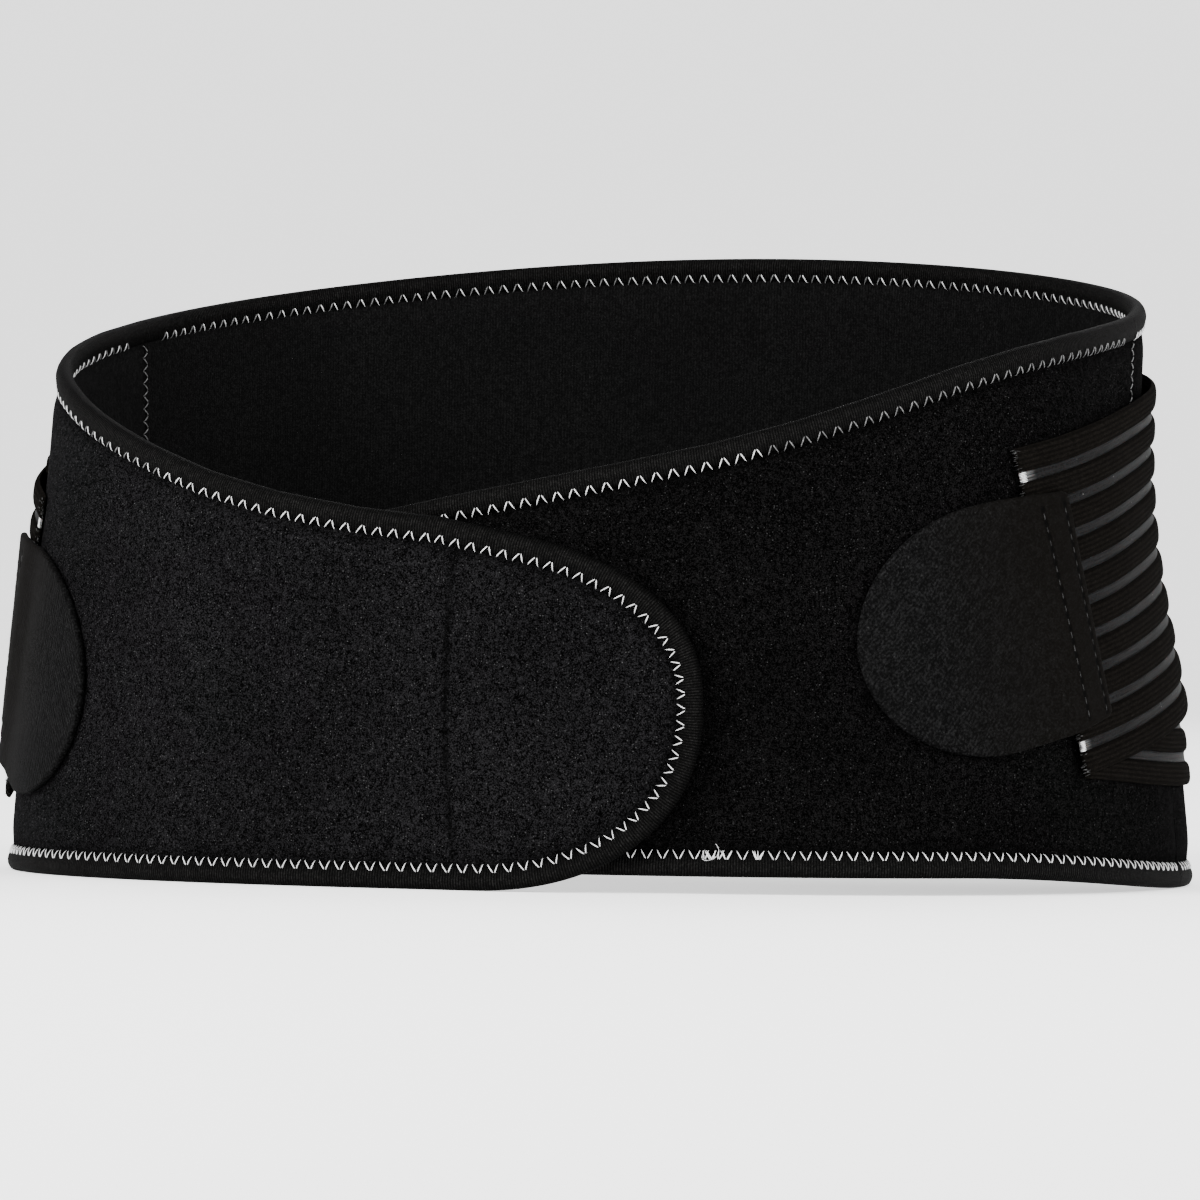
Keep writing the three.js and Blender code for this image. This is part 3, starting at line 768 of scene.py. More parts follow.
class Finishes:
    """Every material of the belt, made once."""

    def __init__(self) -> None:
        """Builds the materials."""
        brushed = {"scale": 2100.0, "roughness": 1.0, "bump": 0.8, "bump_size": 0.0004}
        spun = {"scale": 2600.0, "rarity": 0.9, "bump": 0.4}
        # The right panel's plush is the same cloth as the left's, painted lighter where its nap
        # catches more light, and a little bluer in its own colour.
        self.outer_plush = Plush("plush_painted_lighter", grey(0.0003, 0.0, 0.03),
                                 grey(0.0104, -0.02, 0.05), grey(0.055), rarity=0.68,
                                 gloss=0.005, crease=0.9, **brushed).material()
        self.plush = Plush("plush", grey(0.0002, 0.03), grey(0.005, 0.01, 0.03), grey(0.032),
                           rarity=0.7, gloss=0.003, **brushed).material()
        self.lining = Ribbed("lining_knit", grey(0.002), grey(0.006), grey(0.015), scale=1700.0,
                             rarity=0.97, gloss=0.01, pitch=1.1, waver=0.4, groove=0.35).material()
        self.tape = Folded("ribbed_tape", grey(0.0032, 0.03), grey(0.0105, 0.03), grey(0.016, 0.03),
                           scale=1600.0, rarity=0.95, roughness=0.7, gloss=0.01, pitch=0.9,
                           groove=0.85, bump=1.0, bump_size=0.0004).material()
        self.thread = Finish("white_thread", grey(0.45), grey(0.85), grey(0.9), roughness=0.6,
                             gloss=0.2, **spun).material()
        # A copy of the white thread painted dark, standing for stitches in shade.
        self.shaded_thread = Finish("thread_painted_dark", grey(0.06), grey(0.2), grey(0.3), roughness=0.7,
                                 gloss=0.1, **spun).material()
        self.dark_thread = Finish("dark_thread", grey(0.004), grey(0.03), grey(0.07),
                                  scale=2000.0, rarity=0.7, roughness=0.6, gloss=0.1).material()
        self.yarn = Finish("frayed_yarn", grey(0.01), grey(0.08), grey(0.25), scale=1500.0,
                           rarity=0.8, roughness=0.7).material()
        self.rib = Ribbed("elastic_rib", grey(0.0022, 0.13), grey(0.0052, 0.13), grey(0.01, 0.1),
                          scale=1800.0, rarity=0.95, gloss=0.002, pitch=1.5, across=True,
                          waver=0.3, groove=0.45, bump=0.9).material()
        self.film = Film("elastic_film", grey(0.0015, 0.0, 0.02), grey(0.0095, 0.0, 0.02),
                         grey(0.2), scale=1500.0, rarity=0.95, roughness=0.5, gloss=0.008,
                         bump=0.3).material()
        self.tab = Twill("tab_twill", grey(0.0010, 0.0, 0.01), grey(0.0084, -0.01, 0.01),
                         grey(0.02), scale=1500.0, rarity=0.85, roughness=0.8, gloss=0.014,
                         bump=0.8, bump_size=0.0003).material()
        self.hook = Finish("hook_plastic", grey(0.004), grey(0.012), grey(0.05), scale=1400.0,
                           rarity=0.7, roughness=0.45, gloss=0.3, bump=1.0,
                           bump_size=0.0005).material()


# ---- Pieces


@dataclass(frozen=True)
class Pace:
    """Pitch of the zigzag, which lengthens evenly from the start of a rim to its end."""

    first: float = 4.75
    last: float = 5.9

    def count(self, along: np.ndarray, length: float) -> np.ndarray:
        """Stitches up to a spot: the integral of one over the pitch."""
        rate = (self.last - self.first) / length
        return np.log1p(rate * along / self.first) / rate

    def spot(self, count: np.ndarray, length: float) -> np.ndarray:
        """Place of a stitch along the rim, the inverse of count."""
        rate = (self.last - self.first) / length
        return np.expm1(np.asarray(count, float) * rate) * self.first / rate


@dataclass
class Grid:
    """Both faces of a panel as a grid of columns round the ring and rows across it.

    Args:
        columns: Place of each column along the rails.
        rows: Place of each row across the panel.
        outer: Points of the outer face.
        inner: Points of the inner face.
        weave: Reach, height and distance from the bound edge.
        loose: How free the padding is at each spot, from 0 to 1.
    """

    columns: np.ndarray
    rows: np.ndarray
    outer: np.ndarray
    inner: np.ndarray
    weave: np.ndarray
    loose: np.ndarray

    def surface(self) -> Surface:
        """The closed panel, whose inner face has the second finish."""
        made = Surface.tube(np.concatenate([self.outer, self.inner[:, ::-1]], axis=1),
                            np.concatenate([self.weave, self.weave[:, ::-1]], axis=1))
        rows = len(self.rows)
        inside = np.tile(np.arange(2 * rows) >= rows, len(self.columns) - 1)
        made.finish[:inside.size] = inside
        return made

    def sample(self, values: np.ndarray, other: "Grid") -> np.ndarray:
        """Values of this grid, by straight lines, at the columns and rows of another."""
        for axis, (own, new) in enumerate(((self.columns, other.columns), (self.rows, other.rows))):
            low = np.clip(np.searchsorted(own, new, side="right") - 1, 0, len(own) - 2)
            share = ((new - own[low]) / (own[low + 1] - own[low])).clip(0.0, 1.0)
            share = np.expand_dims(share, tuple(a for a in range(values.ndim) if a != axis))
            values = (np.take(values, low, axis) * (1.0 - share)
                      + np.take(values, low + 1, axis) * share)
        return values


@dataclass
class Panels:
    """The three quilted panels."""

    pattern: Pattern
    finishes: Finishes
    covered: Callable[[np.ndarray, np.ndarray], np.ndarray]
    tape_depth: float = 1.2
    pinch: float = 0.9
    pinch_reach: float = 12.0
    coarse: float = 4.5
    fine: float = 1.5
    turn_length: float = 90.0
    crease: float = 0.9
    pucker: float = 0.35
    pace: Pace = Pace()
    puff: float = 1.5
    pressure: float = 4.0
    frames: int = 20

    def build(self) -> None:
        """Builds the right front, left front and back panel."""
        for side in (*Side, None):
            name = f"front_panel_{side.word}" if side else "back_panel"
            fine = self.grid(side, self.fine)
            coarse = self.grid(side, self.coarse)
            moves = self.swell(name, coarse)
            fine.outer += coarse.sample(moves[0], fine)
            fine.inner += coarse.sample(moves[1], fine)
            plush = self.finishes.outer_plush if side is Side.RIGHT else self.finishes.plush
            made = fine.surface().piece(
                f"{name}_cloth", [plush, self.finishes.lining], "plush_fabric")
            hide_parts(name)

    def rails(self, side: Side | None, step: float) -> tuple[np.ndarray, ...]:
        """Rails of a panel under its tape, its rims, and the place of each column.

        Args:
            side: The front panel's side, or None for the back.
            step: Step along the rails.

        Returns:
            Bottom and top rail, the bound edges as one path, and the columns' places.
        """
        if side is None:
            bottom, top = self.pattern.back_rails(step)
            inner = (bottom + normals(bottom, 1) * self.tape_depth,
                     top + normals(top, -1) * self.tape_depth)
            return *inner, (bottom, top), np.linspace(0.0, 1.0, len(bottom))
        turns = round(self.turn_length / step)
        bottom, top = self.pattern.front_rails(side, step, turns)
        rim = np.concatenate([bottom, top[::-1]])
        inner = rim + normals(rim, -side.value) * self.tape_depth
        straight = len(bottom) - turns - 1
        columns = np.concatenate([np.linspace(0.0, 1.0, straight),
                                  np.linspace(1.0, 2.0, turns + 1)])
        columns[straight] += 1e-6  # keeps the places growing where the two stretches meet
        return inner[:len(bottom)], inner[len(bottom):][::-1], (rim,), columns

    def grid(self, side: Side | None, step: float) -> Grid:
        """Lays a panel out, pinched thinner where the tape grips.

        Rows lie at their own distance from the rails near them and are spread evenly
        between. The outer face has slow waves, the crease over the edge of the hook patch,
        and a pucker at each stitch.

        Args:
            side: The front panel's side, or None for the back.
            step: Size of the grid's cells.

        Returns:
            The grid.
        """
        bottom, top, rims, columns = self.rails(side, step)
        width = self.pattern.front_height
        low = even(0.0, self.pinch_reach, min(step, 3.0))
        rows = np.concatenate([low, even(self.pinch_reach, width - self.pinch_reach, step)[1:-1],
                               width - low[::-1]])
        span = np.linalg.norm(top - bottom, axis=1)[:, None]
        edge = np.minimum(self.pinch_reach, span / 3.0)
        from_end = np.minimum(rows, width - rows)[None, :]
        near = from_end / self.pinch_reach * edge
        far = edge + ((from_end - self.pinch_reach) / (width - 2 * self.pinch_reach)
                      * (span - 2 * edge))
        distance = np.where(from_end <= self.pinch_reach, near, far)
        share = np.where(rows <= width / 2, distance / span, 1.0 - distance / span)[..., None]
        spot = bottom[:, None] * (1.0 - share) + top[:, None] * share
        depths, walks = zip(*(self.nearest(spot, rim) for rim in rims))
        depth = np.min(depths, axis=0)
        counts = [self.pace.count(walk, walk_length(rim)[-1]) for walk, rim in zip(walks, rims)]
        count = np.where(depths[0] <= depths[-1], counts[0], counts[-1])
        reach, height = spot[..., 0], spot[..., 1]
        ring = self.pattern.ring
        seam = np.abs(np.abs(ring.wrapped(reach)) - self.pattern.seam)
        loose = smooth(depth, TAPE_LEG - 0.5, self.pinch_reach + 3.0)
        loose = loose * (0.4 + 0.6 * smooth(seam, 0.0, 8.0))
        stand = self.pattern.front_stand(reach, side) if side else np.zeros_like(reach)
        wave = np.sin(reach / 13.0 + 1.3 * np.sin(height / 21.0)) * np.sin(height / 17.0 + 2.0)
        tuck = np.exp(-((depth - 8.4) / 1.7) ** 2) * (0.5 + 0.5 * np.cos(math.tau * count))
        outer = stand - self.pinch * (1.0 - loose) + 0.3 * loose * wave - self.pucker * tuck
        if side is Side.RIGHT:
            line = CREASE_REACH + CREASE_BEND * (height - CREASE_HEIGHT) ** 2
            fold = np.exp(-((reach - line) / 1.5) ** 2)
            ridge = np.exp(-((reach - line + 4.2) / 2.6) ** 2)
            outer = outer + loose * (0.35 * ridge - self.crease * fold)
        inner = stand - self.pattern.thickness + self.pinch * (1.0 - loose)
        return Grid(columns, rows, ring.place(reach, height, outer),
                    ring.place(reach, height, inner), spread(reach, height, depth), loose)

    def swell(self, name: str, grid: Grid) -> np.ndarray:
        """Lets the padding swell between its bound edges, by a cloth simulation under pressure.

        The edges are pinned, and the motion is kept with its length capped, by nothing
        where webbing or a tab presses on the panel.

        Args:
            name: Name of the panel, for the log.
            grid: The panel on a coarse grid.

        Returns:
            Moves of the outer and the inner face, in millimetres.
        """
        scene = bpy.context.scene
        made = grid.surface().piece(f"{name}_padding", [], "plush_fabric")
        before = np.empty(len(made.data.vertices) * 3, np.float32)
        made.data.vertices.foreach_get("co", before)
        free = grid.loose * (1.0 - self.covered(grid.weave[..., 0], grid.weave[..., 1]))
        free = np.concatenate([free, free[:, ::-1]], axis=1)
        pins = made.vertex_groups.new(name="held")
        pins.add(np.flatnonzero(free.ravel() < 0.1).tolist(), 1.0, "REPLACE")
        cloth = made.modifiers.new("swell", "CLOTH")
        for setting, value in (("quality", 4), ("mass", 0.3), ("bending_stiffness", 2.0),
                               ("vertex_group_mass", pins.name), ("use_pressure", True),
                               ("uniform_pressure_force", self.pressure)):
            setattr(cloth.settings, setting, value)
        cloth.settings.effector_weights.gravity = 0.0
        cloth.collision_settings.use_collision = False
        cloth.point_cache.frame_end = self.frames
        for frame_number in range(1, self.frames + 1):
            scene.frame_set(frame_number)
        after = np.empty_like(before)
        swollen = made.evaluated_get(bpy.context.evaluated_depsgraph_get())
        swollen.data.vertices.foreach_get("co", after)
        bpy.data.objects.remove(made, do_unlink=True)
        scene.frame_set(1)
        move = (after - before).reshape(free.shape + (3,)) / MM
        size = np.linalg.norm(move, axis=-1, keepdims=True) + 1e-9
        LOG.info("%s: padding swelled %.1f mm at most before the cap", name, size.max())
        move *= self.puff * free[..., None] * np.tanh(size / self.puff) / size
        rows = len(grid.rows)
        return np.stack([move[:, :rows], move[:, rows:][:, ::-1]])

    @staticmethod
    def nearest(spot: np.ndarray, path: np.ndarray) -> tuple[np.ndarray, np.ndarray]:
        """Distance of each spot from a path, and the length along the path nearest to it."""
        start, step, walked = path[:-1], np.diff(path, axis=0), walk_length(path)
        length = np.diff(walked)
        offset = spot[..., None, :] - start
        share = np.clip((offset * step).sum(-1) / length ** 2, 0.0, 1.0)
        away = np.linalg.norm(offset - share[..., None] * step, axis=-1)
        place = away.argmin(axis=-1)[..., None]
        share = np.take_along_axis(share, place, -1)[..., 0]
        place = place[..., 0]
        return away.min(axis=-1), walked[place] + share * length[place]


@dataclass
class Bindings:
    """Ribbed tape folded over the edges, and the zigzag that holds it."""

    pattern: Pattern
    finishes: Finishes
    cloth: float = 0.9
    clearance: float = 0.3
    nose: float = 3.4
    fullness: float = 2.4
    swell: float = 0.3
    press: float = 0.4

    def build(self) -> dict[str, Rim]:
        """Builds the four tapes.

        Returns:
            Their rims by name.
        """
        rims = {}
        for side in Side:
            bottom, top = self.pattern.front_rails(side, 1.5, 90)
            path = np.concatenate([bottom, top[::-1]])
            rims[f"front_binding_{side.word}"] = Rim(self.pattern, path, -side.value, side)
        bottom, top = self.pattern.back_rails(1.5)
        rims["back_binding_bottom"] = Rim(self.pattern, bottom, 1, None)
        rims["back_binding_top"] = Rim(self.pattern, top, -1, None)
        for name, rim in rims.items():
            self.tape(name, rim)
        return rims

    def profile(self) -> np.ndarray:
        """Section of the tape as (depth, out, run): a U with a rounded nose.

        The nose is a superellipse about the middle of the panel's thickness, with the
        inside of the tape the same shape, smaller by its thickness.
        """
        half = self.pattern.thickness / 2.0 + self.clearance
        middle = -self.pattern.thickness / 2.0
        turn = np.linspace(90.0, -90.0, 11) * math.pi / 180.0
        power = 2.0 / self.fullness

        def nose(inset: float, bend: np.ndarray) -> np.ndarray:
            """Half superellipse, inset by some thickness."""
            deep = inset + (self.nose - inset) * (1.0 - np.cos(bend).clip(0.0) ** power)
            out = middle + (half - inset) * np.sign(np.sin(bend)) * np.abs(np.sin(bend)) ** power
            return np.stack([deep, out], -1)

        flat = np.array([[depth, half] for depth in (TAPE_LEG, 6.3, 5.2, 4.3)])
        far = flat[::-1] * [1.0, -1.0]
        outer = np.concatenate([flat + [0.0, middle], nose(0.0, turn), far + [0.0, middle]])
        rise = self.swell * np.exp(-((outer[:, 0] - 3.3) / 1.5) ** 2)
        drop = self.press * smooth(outer[:, 0], 4.0, TAPE_LEG)
        outer[:, 1] += np.sign(outer[:, 1] - middle) * (rise * smooth(outer[:, 0], 0.3, 2.0) - drop)
        inside = half - self.cloth + 0.1
        section = np.concatenate([outer, [[TAPE_LEG, middle - inside]],
                                  nose(self.cloth, -turn[::2]), [[TAPE_LEG, middle + inside]]])
        return np.column_stack([section, walk_length(section)])[: len(section) // 2 * 2]

    def tape(self, name: str, rim: Rim) -> None:
        """One tape along its rim."""
        depth, out, run = self.profile().T
        along = rim.along[:, None]
        made = Surface.tube(rim.place(along, depth, out), spread(along, run, 0.0)).piece(
            f"{name}_tape", [self.finishes.tape], "binding_tape")
        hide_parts(name)


class Stitches:
    """Short lengths of thread laid on a chart, many at a time."""

    @staticmethod
    def laid(place: Callable, start: np.ndarray, end: np.ndarray, out, thick: tuple[float, float],
             sink: float = 0.6, sides: int = 6, steps: int = 5) -> Surface:
        """Threads from start to end, their ends sunk into the cloth.

        Each thread is a tube whose middle line is straight on the chart and rises out of
        the cloth over its first and last fifth.

        Args:
            place: Chart, a function of along, across and out.
            start: First spots (along, across), one row for each thread.
            end: Last spots.
            out: Height of the cloth, or a function of the two chart coordinates for it.
            thick: Radius at the start and at the end.
            sink: How deep the ends go.
            sides: Sides of the tube.
            steps: Steps along it.

        Returns:
            The threads as one surface.
        """
        share = np.linspace(0.0, 1.0, steps + 1)
        spot = start[:, None] + (end - start)[:, None] * share[None, :, None]
        radius = (thick[0] + (thick[1] - thick[0]) * share) * (
            0.55 + 0.45 * np.sin(math.pi * share))
        tip = np.minimum(share, 1.0 - share)
        lift = radius * 0.55 - sink * (1.0 - smooth(tip, 0.0, 0.22))
        height = (out(spot[..., 0], spot[..., 1]) if callable(out) else out) + lift
        line = place(spot[..., 0], spot[..., 1], height)
        above = place(spot[..., 0], spot[..., 1], height + 0.1) - line
        above /= np.linalg.norm(above, axis=-1, keepdims=True)
        along = np.gradient(line, axis=1)
        along /= np.linalg.norm(along, axis=-1, keepdims=True)
        beside = np.cross(along, above)
        radius = radius * np.where(tip <= 0.0, 0.05, 1.0)
        turn = np.arange(sides) / sides * math.tau
        ring = (np.cos(turn)[:, None] * above[:, :, None]
                + np.sin(turn)[:, None] * beside[:, :, None])
        points = line[:, :, None] + ring * radius[None, :, None, None]
        count = len(start)
        vertex = np.arange(count * (steps + 1) * sides).reshape(count, steps + 1, sides)
        after = np.roll(vertex, -1, axis=2)
        quads = np.stack([vertex[:, :-1], after[:, :-1], after[:, 1:], vertex[:, 1:]], -1)
        quads = quads.reshape(-1, 4)
        weave = spread(spot[..., 0], spot[..., 1], share)[:, :, None]
        return Surface(points.reshape(-1, 3), quads,
                       np.broadcast_to(weave, points.shape).reshape(-1, 3),
                       np.zeros(len(quads), np.int32)).outward()


@dataclass
class Zigzag:
    """White zigzag along a bound edge, peaks towards the edge."""

    finishes: Finishes
    pace: Pace = Pace()
    advance: float = 1.9
    lean: dict[Side | None, float] = field(default_factory=lambda: {
        Side.RIGHT: 0.85, Side.LEFT: 0.2, None: 0.0})
    peak: float = 5.1
    foot: float = 8.2
    radius: float = 0.225
    # Reach past which high stitches take the thread painted in shade.
    shade_reach: float = 105.0
    tacks: tuple[float, ...] = (185.0, 186.4, 195.2, 197.0, 200.4, 201.9)
    seam_low: float = 60.0
    seam_pitch: float = 2.1
    seam_half: float = 1.7

    def row(self, rim: Rim, inner: bool, thickness: float) -> Surface:
        """One row along a rim, on its outer or inner face.

        Each stitch is two legs from its feet on the cloth to one peak on the tape. The
        peaks lean the way the needle swung, to one side round the whole panel.
        """
        count = int(self.pace.count(rim.length - 6.0, rim.length)) - 1
        middle = self.pace.spot(1.0 + np.arange(count), rim.length)
        sign = -1.0 if inner else 1.0
        level = -thickness if inner else 0.0

        def cloth(_along: np.ndarray, depth: np.ndarray) -> np.ndarray:
            """Height of the tape and, past its edge, of the pinched cloth."""
            return np.interp(depth, [self.peak, 6.4, 7.3, self.foot], [0.25, 0.0, -0.3, -0.7])

        def chart(along: np.ndarray, depth: np.ndarray, out: np.ndarray) -> np.ndarray:
            """The rim's chart, mirrored for the inner face."""
            return rim.place(along, depth, level + sign * out)

        lean = self.lean[rim.side] * rim.heading(middle)
        advance = np.full(count, self.advance)
        if rim.side is Side.LEFT and not inner:
            again = np.array(self.tacks)
            middle = np.concatenate([middle, again])
            lean = np.concatenate([lean, np.resize([0.9, -0.8, 0.3], len(again))])
            advance = np.concatenate([advance, np.resize([1.5, 0.9], len(again))])
        legs = []
        for way in (-1.0, 1.0):
            foot = np.stack([middle + way * advance, np.full(len(middle), self.foot)], -1)
            top = np.stack([middle + lean + 0.12 * way, np.full(len(middle), self.peak)], -1)
            legs.append(Stitches.laid(chart, top, foot, cloth, (self.radius, self.radius * 0.8),
                                      sink=0.35))
        reach = np.interp(middle, rim.along, rim.path[:, 0])
        height = np.interp(middle, rim.along, rim.path[:, 1])
        # Painted shade: far round the sides, both legs on the left panel and the second leg on the
        # right take the darker thread, as does the second leg all along the back.
        far = (np.abs(reach) > self.shade_reach) & (height > 60.0)
        for leg, shade_leg in zip(legs, (far & (rim.side is Side.LEFT), far | (rim.side is None))):
            leg.finish[:] = np.repeat(shade_leg, len(leg.finish) // len(middle))
        return Surface.joined(legs)

    def tail(self, rim: Rim) -> Surface:
        """Loose end of thread that curls over the doubled stitches."""
        turn = np.linspace(0.0, 1.0, 11)
        spot = np.stack([202.4 - 4.6 * turn + 1.5 * np.sin(7.0 * turn),
                         7.6 - 2.6 * np.sin(4.4 * turn)], -1)
        return Stitches.laid(rim.place, spot[:-1], spot[1:], 0.55, (self.radius * 0.55,) * 2,
                             sink=0.0)

    def seams(self, pattern: Pattern) -> None:
        """Upright zigzag down both side seams, on both faces."""
        for side in Side:
            heights = np.arange(self.seam_low, pattern.side_height - 8.0, self.seam_pitch)
            sway = np.resize([-self.seam_half, self.seam_half], len(heights))
            spots = np.stack([heights, sway], -1)
            parts = []
            for sign, level in ((1.0, -0.55), (-1.0, -pattern.thickness + 0.55)):
                def chart(height: np.ndarray, beside: np.ndarray, out: np.ndarray) -> np.ndarray:
                    """Chart beside the seam."""
                    reach = side.value * pattern.seam + beside
                    return pattern.ring.place(reach, height, level + sign * out)
                parts.append(Stitches.laid(chart, spots[:-1], spots[1:], 0.25,
                                           (self.radius * 0.8,) * 2, sink=0.3))
            # The side seams take the thread painted in shade.
            Surface.joined(parts).piece(f"side_seam_{side.word}_stitches",
                                        [self.finishes.shaded_thread], "plush_fabric")

    def build(self, name: str, rim: Rim, thickness: float) -> None:
        """Both rows of a rim as one piece."""
        parts = [self.row(rim, inner, thickness) for inner in (False, True)]
        if rim.side is Side.LEFT:
            parts.append(self.tail(rim))
        Surface.joined(parts).piece(f"{name}_stitches", [
            self.finishes.thread, self.finishes.shaded_thread], "binding_tape")


@dataclass
class Webbing:
    """Ribbed elastic: the back band and the two pull straps."""

    pattern: Pattern
    finishes: Finishes
    ribs: int = 10
    rib_width: float = 7.5
    rib_height: float = 1.8
    film_width: float = 3.0
    film_low: float = 0.12
    film_high: float = 0.6
    layer_gap: float = 0.5
    band_height: float = 32.0
    band_end: float = 221.0
    climb: float = 26.0
    climb_margin: float = 5.0
    strap_end: float = STRAP_END
    root_height: float = 124.5
    root_gap: float = 0.6
    cut_length: float = 70.0
    end_height: dict[Side, float] = field(default_factory=lambda: {
        Side.RIGHT: 71.0, Side.LEFT: 86.0})
    step: float = 3.0
    ease: float = 6.0
    dome: float = 0.72

    @property
    def width(self) -> float:
        """Width of the webbing."""
        return self.ribs * self.rib_width + (self.ribs - 1) * self.film_width

    @property
    def pitch(self) -> float:
        """Distance from rib to rib."""
        return self.rib_width + self.film_width

    @property
    def middles(self) -> np.ndarray:
        """Middle line of each rib."""
        return (self.rib_width - self.width) / 2.0 + np.arange(self.ribs) * self.pitch

    @property
    def layer(self) -> float:
        """Thickness of one layer with its gap."""
        return self.rib_height + self.layer_gap

    def strap_stand(self, reach: np.ndarray) -> np.ndarray:
        """Stand of a strap's underside, which climbs onto the end of the band."""
        foot = self.band_end - self.climb_margin
        climb = smooth(np.abs(self.pattern.ring.wrapped(reach)), foot - self.climb, foot)
        return self.pattern.face(reach) + self.layer_gap + self.layer * climb

    def line(self, side: Side, distance: np.ndarray) -> tuple[np.ndarray, np.ndarray]:
        """Height and slope angle of a strap's middle line, a parabola that levels out."""
        rise = self.root_height - self.end_height[side]
        length = self.pattern.ring.back - self.strap_end
        left = 1.0 - (distance - self.strap_end) / length
        return self.root_height - rise * left ** 2, np.arctan(2.0 * rise / length * left)

    def strap_place(self, side: Side) -> Callable:
        """Chart of a strap: distance, across its width and out."""
        def place(distance: np.ndarray, across: np.ndarray, out: np.ndarray) -> np.ndarray:
            """Points of the strap; its cut end is square to its middle line."""
            square = 1.0 - smooth(distance, self.strap_end, self.strap_end + self.cut_length)
            shifted = distance - square * np.sin(self.line(side, distance)[1]) * across
            middle, angle = self.line(side, shifted)
            reach = side.value * shifted
            return self.pattern.ring.place(reach, middle + across / np.cos(angle),
                                           self.strap_stand(reach) + out)
        return place

    def band_place(self, reach: np.ndarray, across: np.ndarray, out: np.ndarray) -> np.ndarray:
        """Chart of the band round the back."""
        height = self.band_height + self.pattern.hem(reach) + self.width / 2.0 + across
        return self.pattern.ring.place(
            reach, height, self.pattern.face(reach) + self.layer_gap + out)

    def rib(self, place: Callable, along: np.ndarray, middle: float) -> Surface:
        """One rib: flat below and domed above, like a superellipse."""
        turn = np.linspace(0.0, math.pi, 11)
        across = self.rib_width / 2.0 * np.sign(np.cos(turn)) * np.abs(np.cos(turn)) ** self.dome
        out = self.rib_height * np.sin(turn).clip(0.0) ** self.dome
        low = np.array([-0.5, 0.0, 0.5]) * self.rib_width
        across = np.concatenate([across, low])
        out = np.concatenate([np.maximum(out, 0.25), np.zeros(3)])
        across[0], across[10] = self.rib_width / 2.0, -self.rib_width / 2.0
        return Surface.swept(place, along, middle + across, out)

    def film(self, place: Callable, along: np.ndarray, middle: float) -> Surface:
        """One strip of film between two ribs, a little sunk in its middle."""
        half = self.film_width / 2.0 + 0.12
        across = np.array([half, 0.6, 0.0, -0.6, -half, -half, 0.0, half])
        sag = np.array([0.0, 0.18, 0.18, 0.18, 0.0])
        out = np.concatenate([self.film_high - sag, np.full(3, self.film_low)])
        return Surface.swept(place, along, middle + across, out, finish=1)

    def made(self, name: str, place: Callable, along: np.ndarray) -> None:
        """A length of webbing as one piece, its ribs and its film with their own finish."""
        parts = [self.rib(place, along, middle) for middle in self.middles]
        parts += [self.film(place, along, gap) for gap in self.middles[:-1] + self.pitch / 2.0]
        piece = Surface.joined(parts).piece(f"{name}_webbing", [
            self.finishes.rib, self.finishes.film], "ribbed_elastic")
        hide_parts(name)
        float(np.ptp(along)) * MM

    def covers(self, reach: np.ndarray, height: np.ndarray) -> np.ndarray:
        """1 where the band or a strap presses on the panels, easing to 0 beside them."""
        ring = self.pattern.ring
        near = ring.wrapped(reach)
        half = self.width / 2.0
        middle = self.band_height + self.pattern.hem(reach) + half
        band = smooth(np.abs(near), self.band_end - self.ease, self.band_end) * (
            1.0 - smooth(np.abs(height - middle), half, half + self.ease))
        straps = []
        for side in Side:
            distance = side.value * near
            middle, angle = self.line(side, distance)
            square = np.clip((height - middle) * np.sin(angle), -20.0, 20.0)
            end = self.strap_end - square
            straps.append(smooth(distance, end - 7.0, end) * (
                1.0 - smooth(np.abs(height - middle) * np.cos(angle), half, half + self.ease)))
        return np.maximum(band, np.maximum(*straps))

    def ends(self, side: Side) -> None:
        """Frayed yarn on the cut ends of the ribs and the bright cut film between them."""
        place, tufts, strands = self.strap_place(side), 22, 7
        chance = np.random.default_rng(11 + side.value)
        across = (self.middles[:, None] + self.rib_width * chance.uniform(
            -0.46, 0.46, (self.ribs, tufts))).ravel()
        long = chance.uniform(0.3, 2.2, across.size)
        start = np.stack([np.full(across.size, self.strap_end + 1.2), across], -1)
        end = np.stack([self.strap_end - long, across + chance.normal(0.0, 0.25, across.size)], -1)
        high = chance.uniform(0.3, self.rib_height, across.size)[:, None]
        yarn = Stitches.laid(place, start, end, high, (0.13, 0.09), sink=0.0, sides=4, steps=3)
        film = (self.middles[:-1, None] + self.pitch / 2.0
                + np.linspace(-1.35, 1.35, strands)).ravel()
        start = np.stack([np.full(film.size, self.strap_end + 2.4), film], -1)
        end = np.stack([self.strap_end - chance.uniform(-0.2, 0.8, film.size), film], -1)
        bright = Stitches.laid(place, start, end, 0.75, (0.24, 0.2), sink=0.0, sides=5, steps=3)
        bright.finish[:] = 1
        Surface.joined([yarn, bright]).piece(f"pull_strap_{side.word}_cut_end", [
            self.finishes.yarn, self.finishes.thread], "ribbed_elastic")

    def build(self) -> None:
        """Builds the band and both straps."""
        ring = self.pattern.ring
        self.made("back_band", self.band_place,
                  even(self.band_end, ring.girth - self.band_end, self.step))
        for side in Side:
            along = even(self.strap_end, ring.back - self.root_gap / 2.0, self.step)
            self.made(f"pull_strap_{side.word}", self.strap_place(side), along)
            self.ends(side)


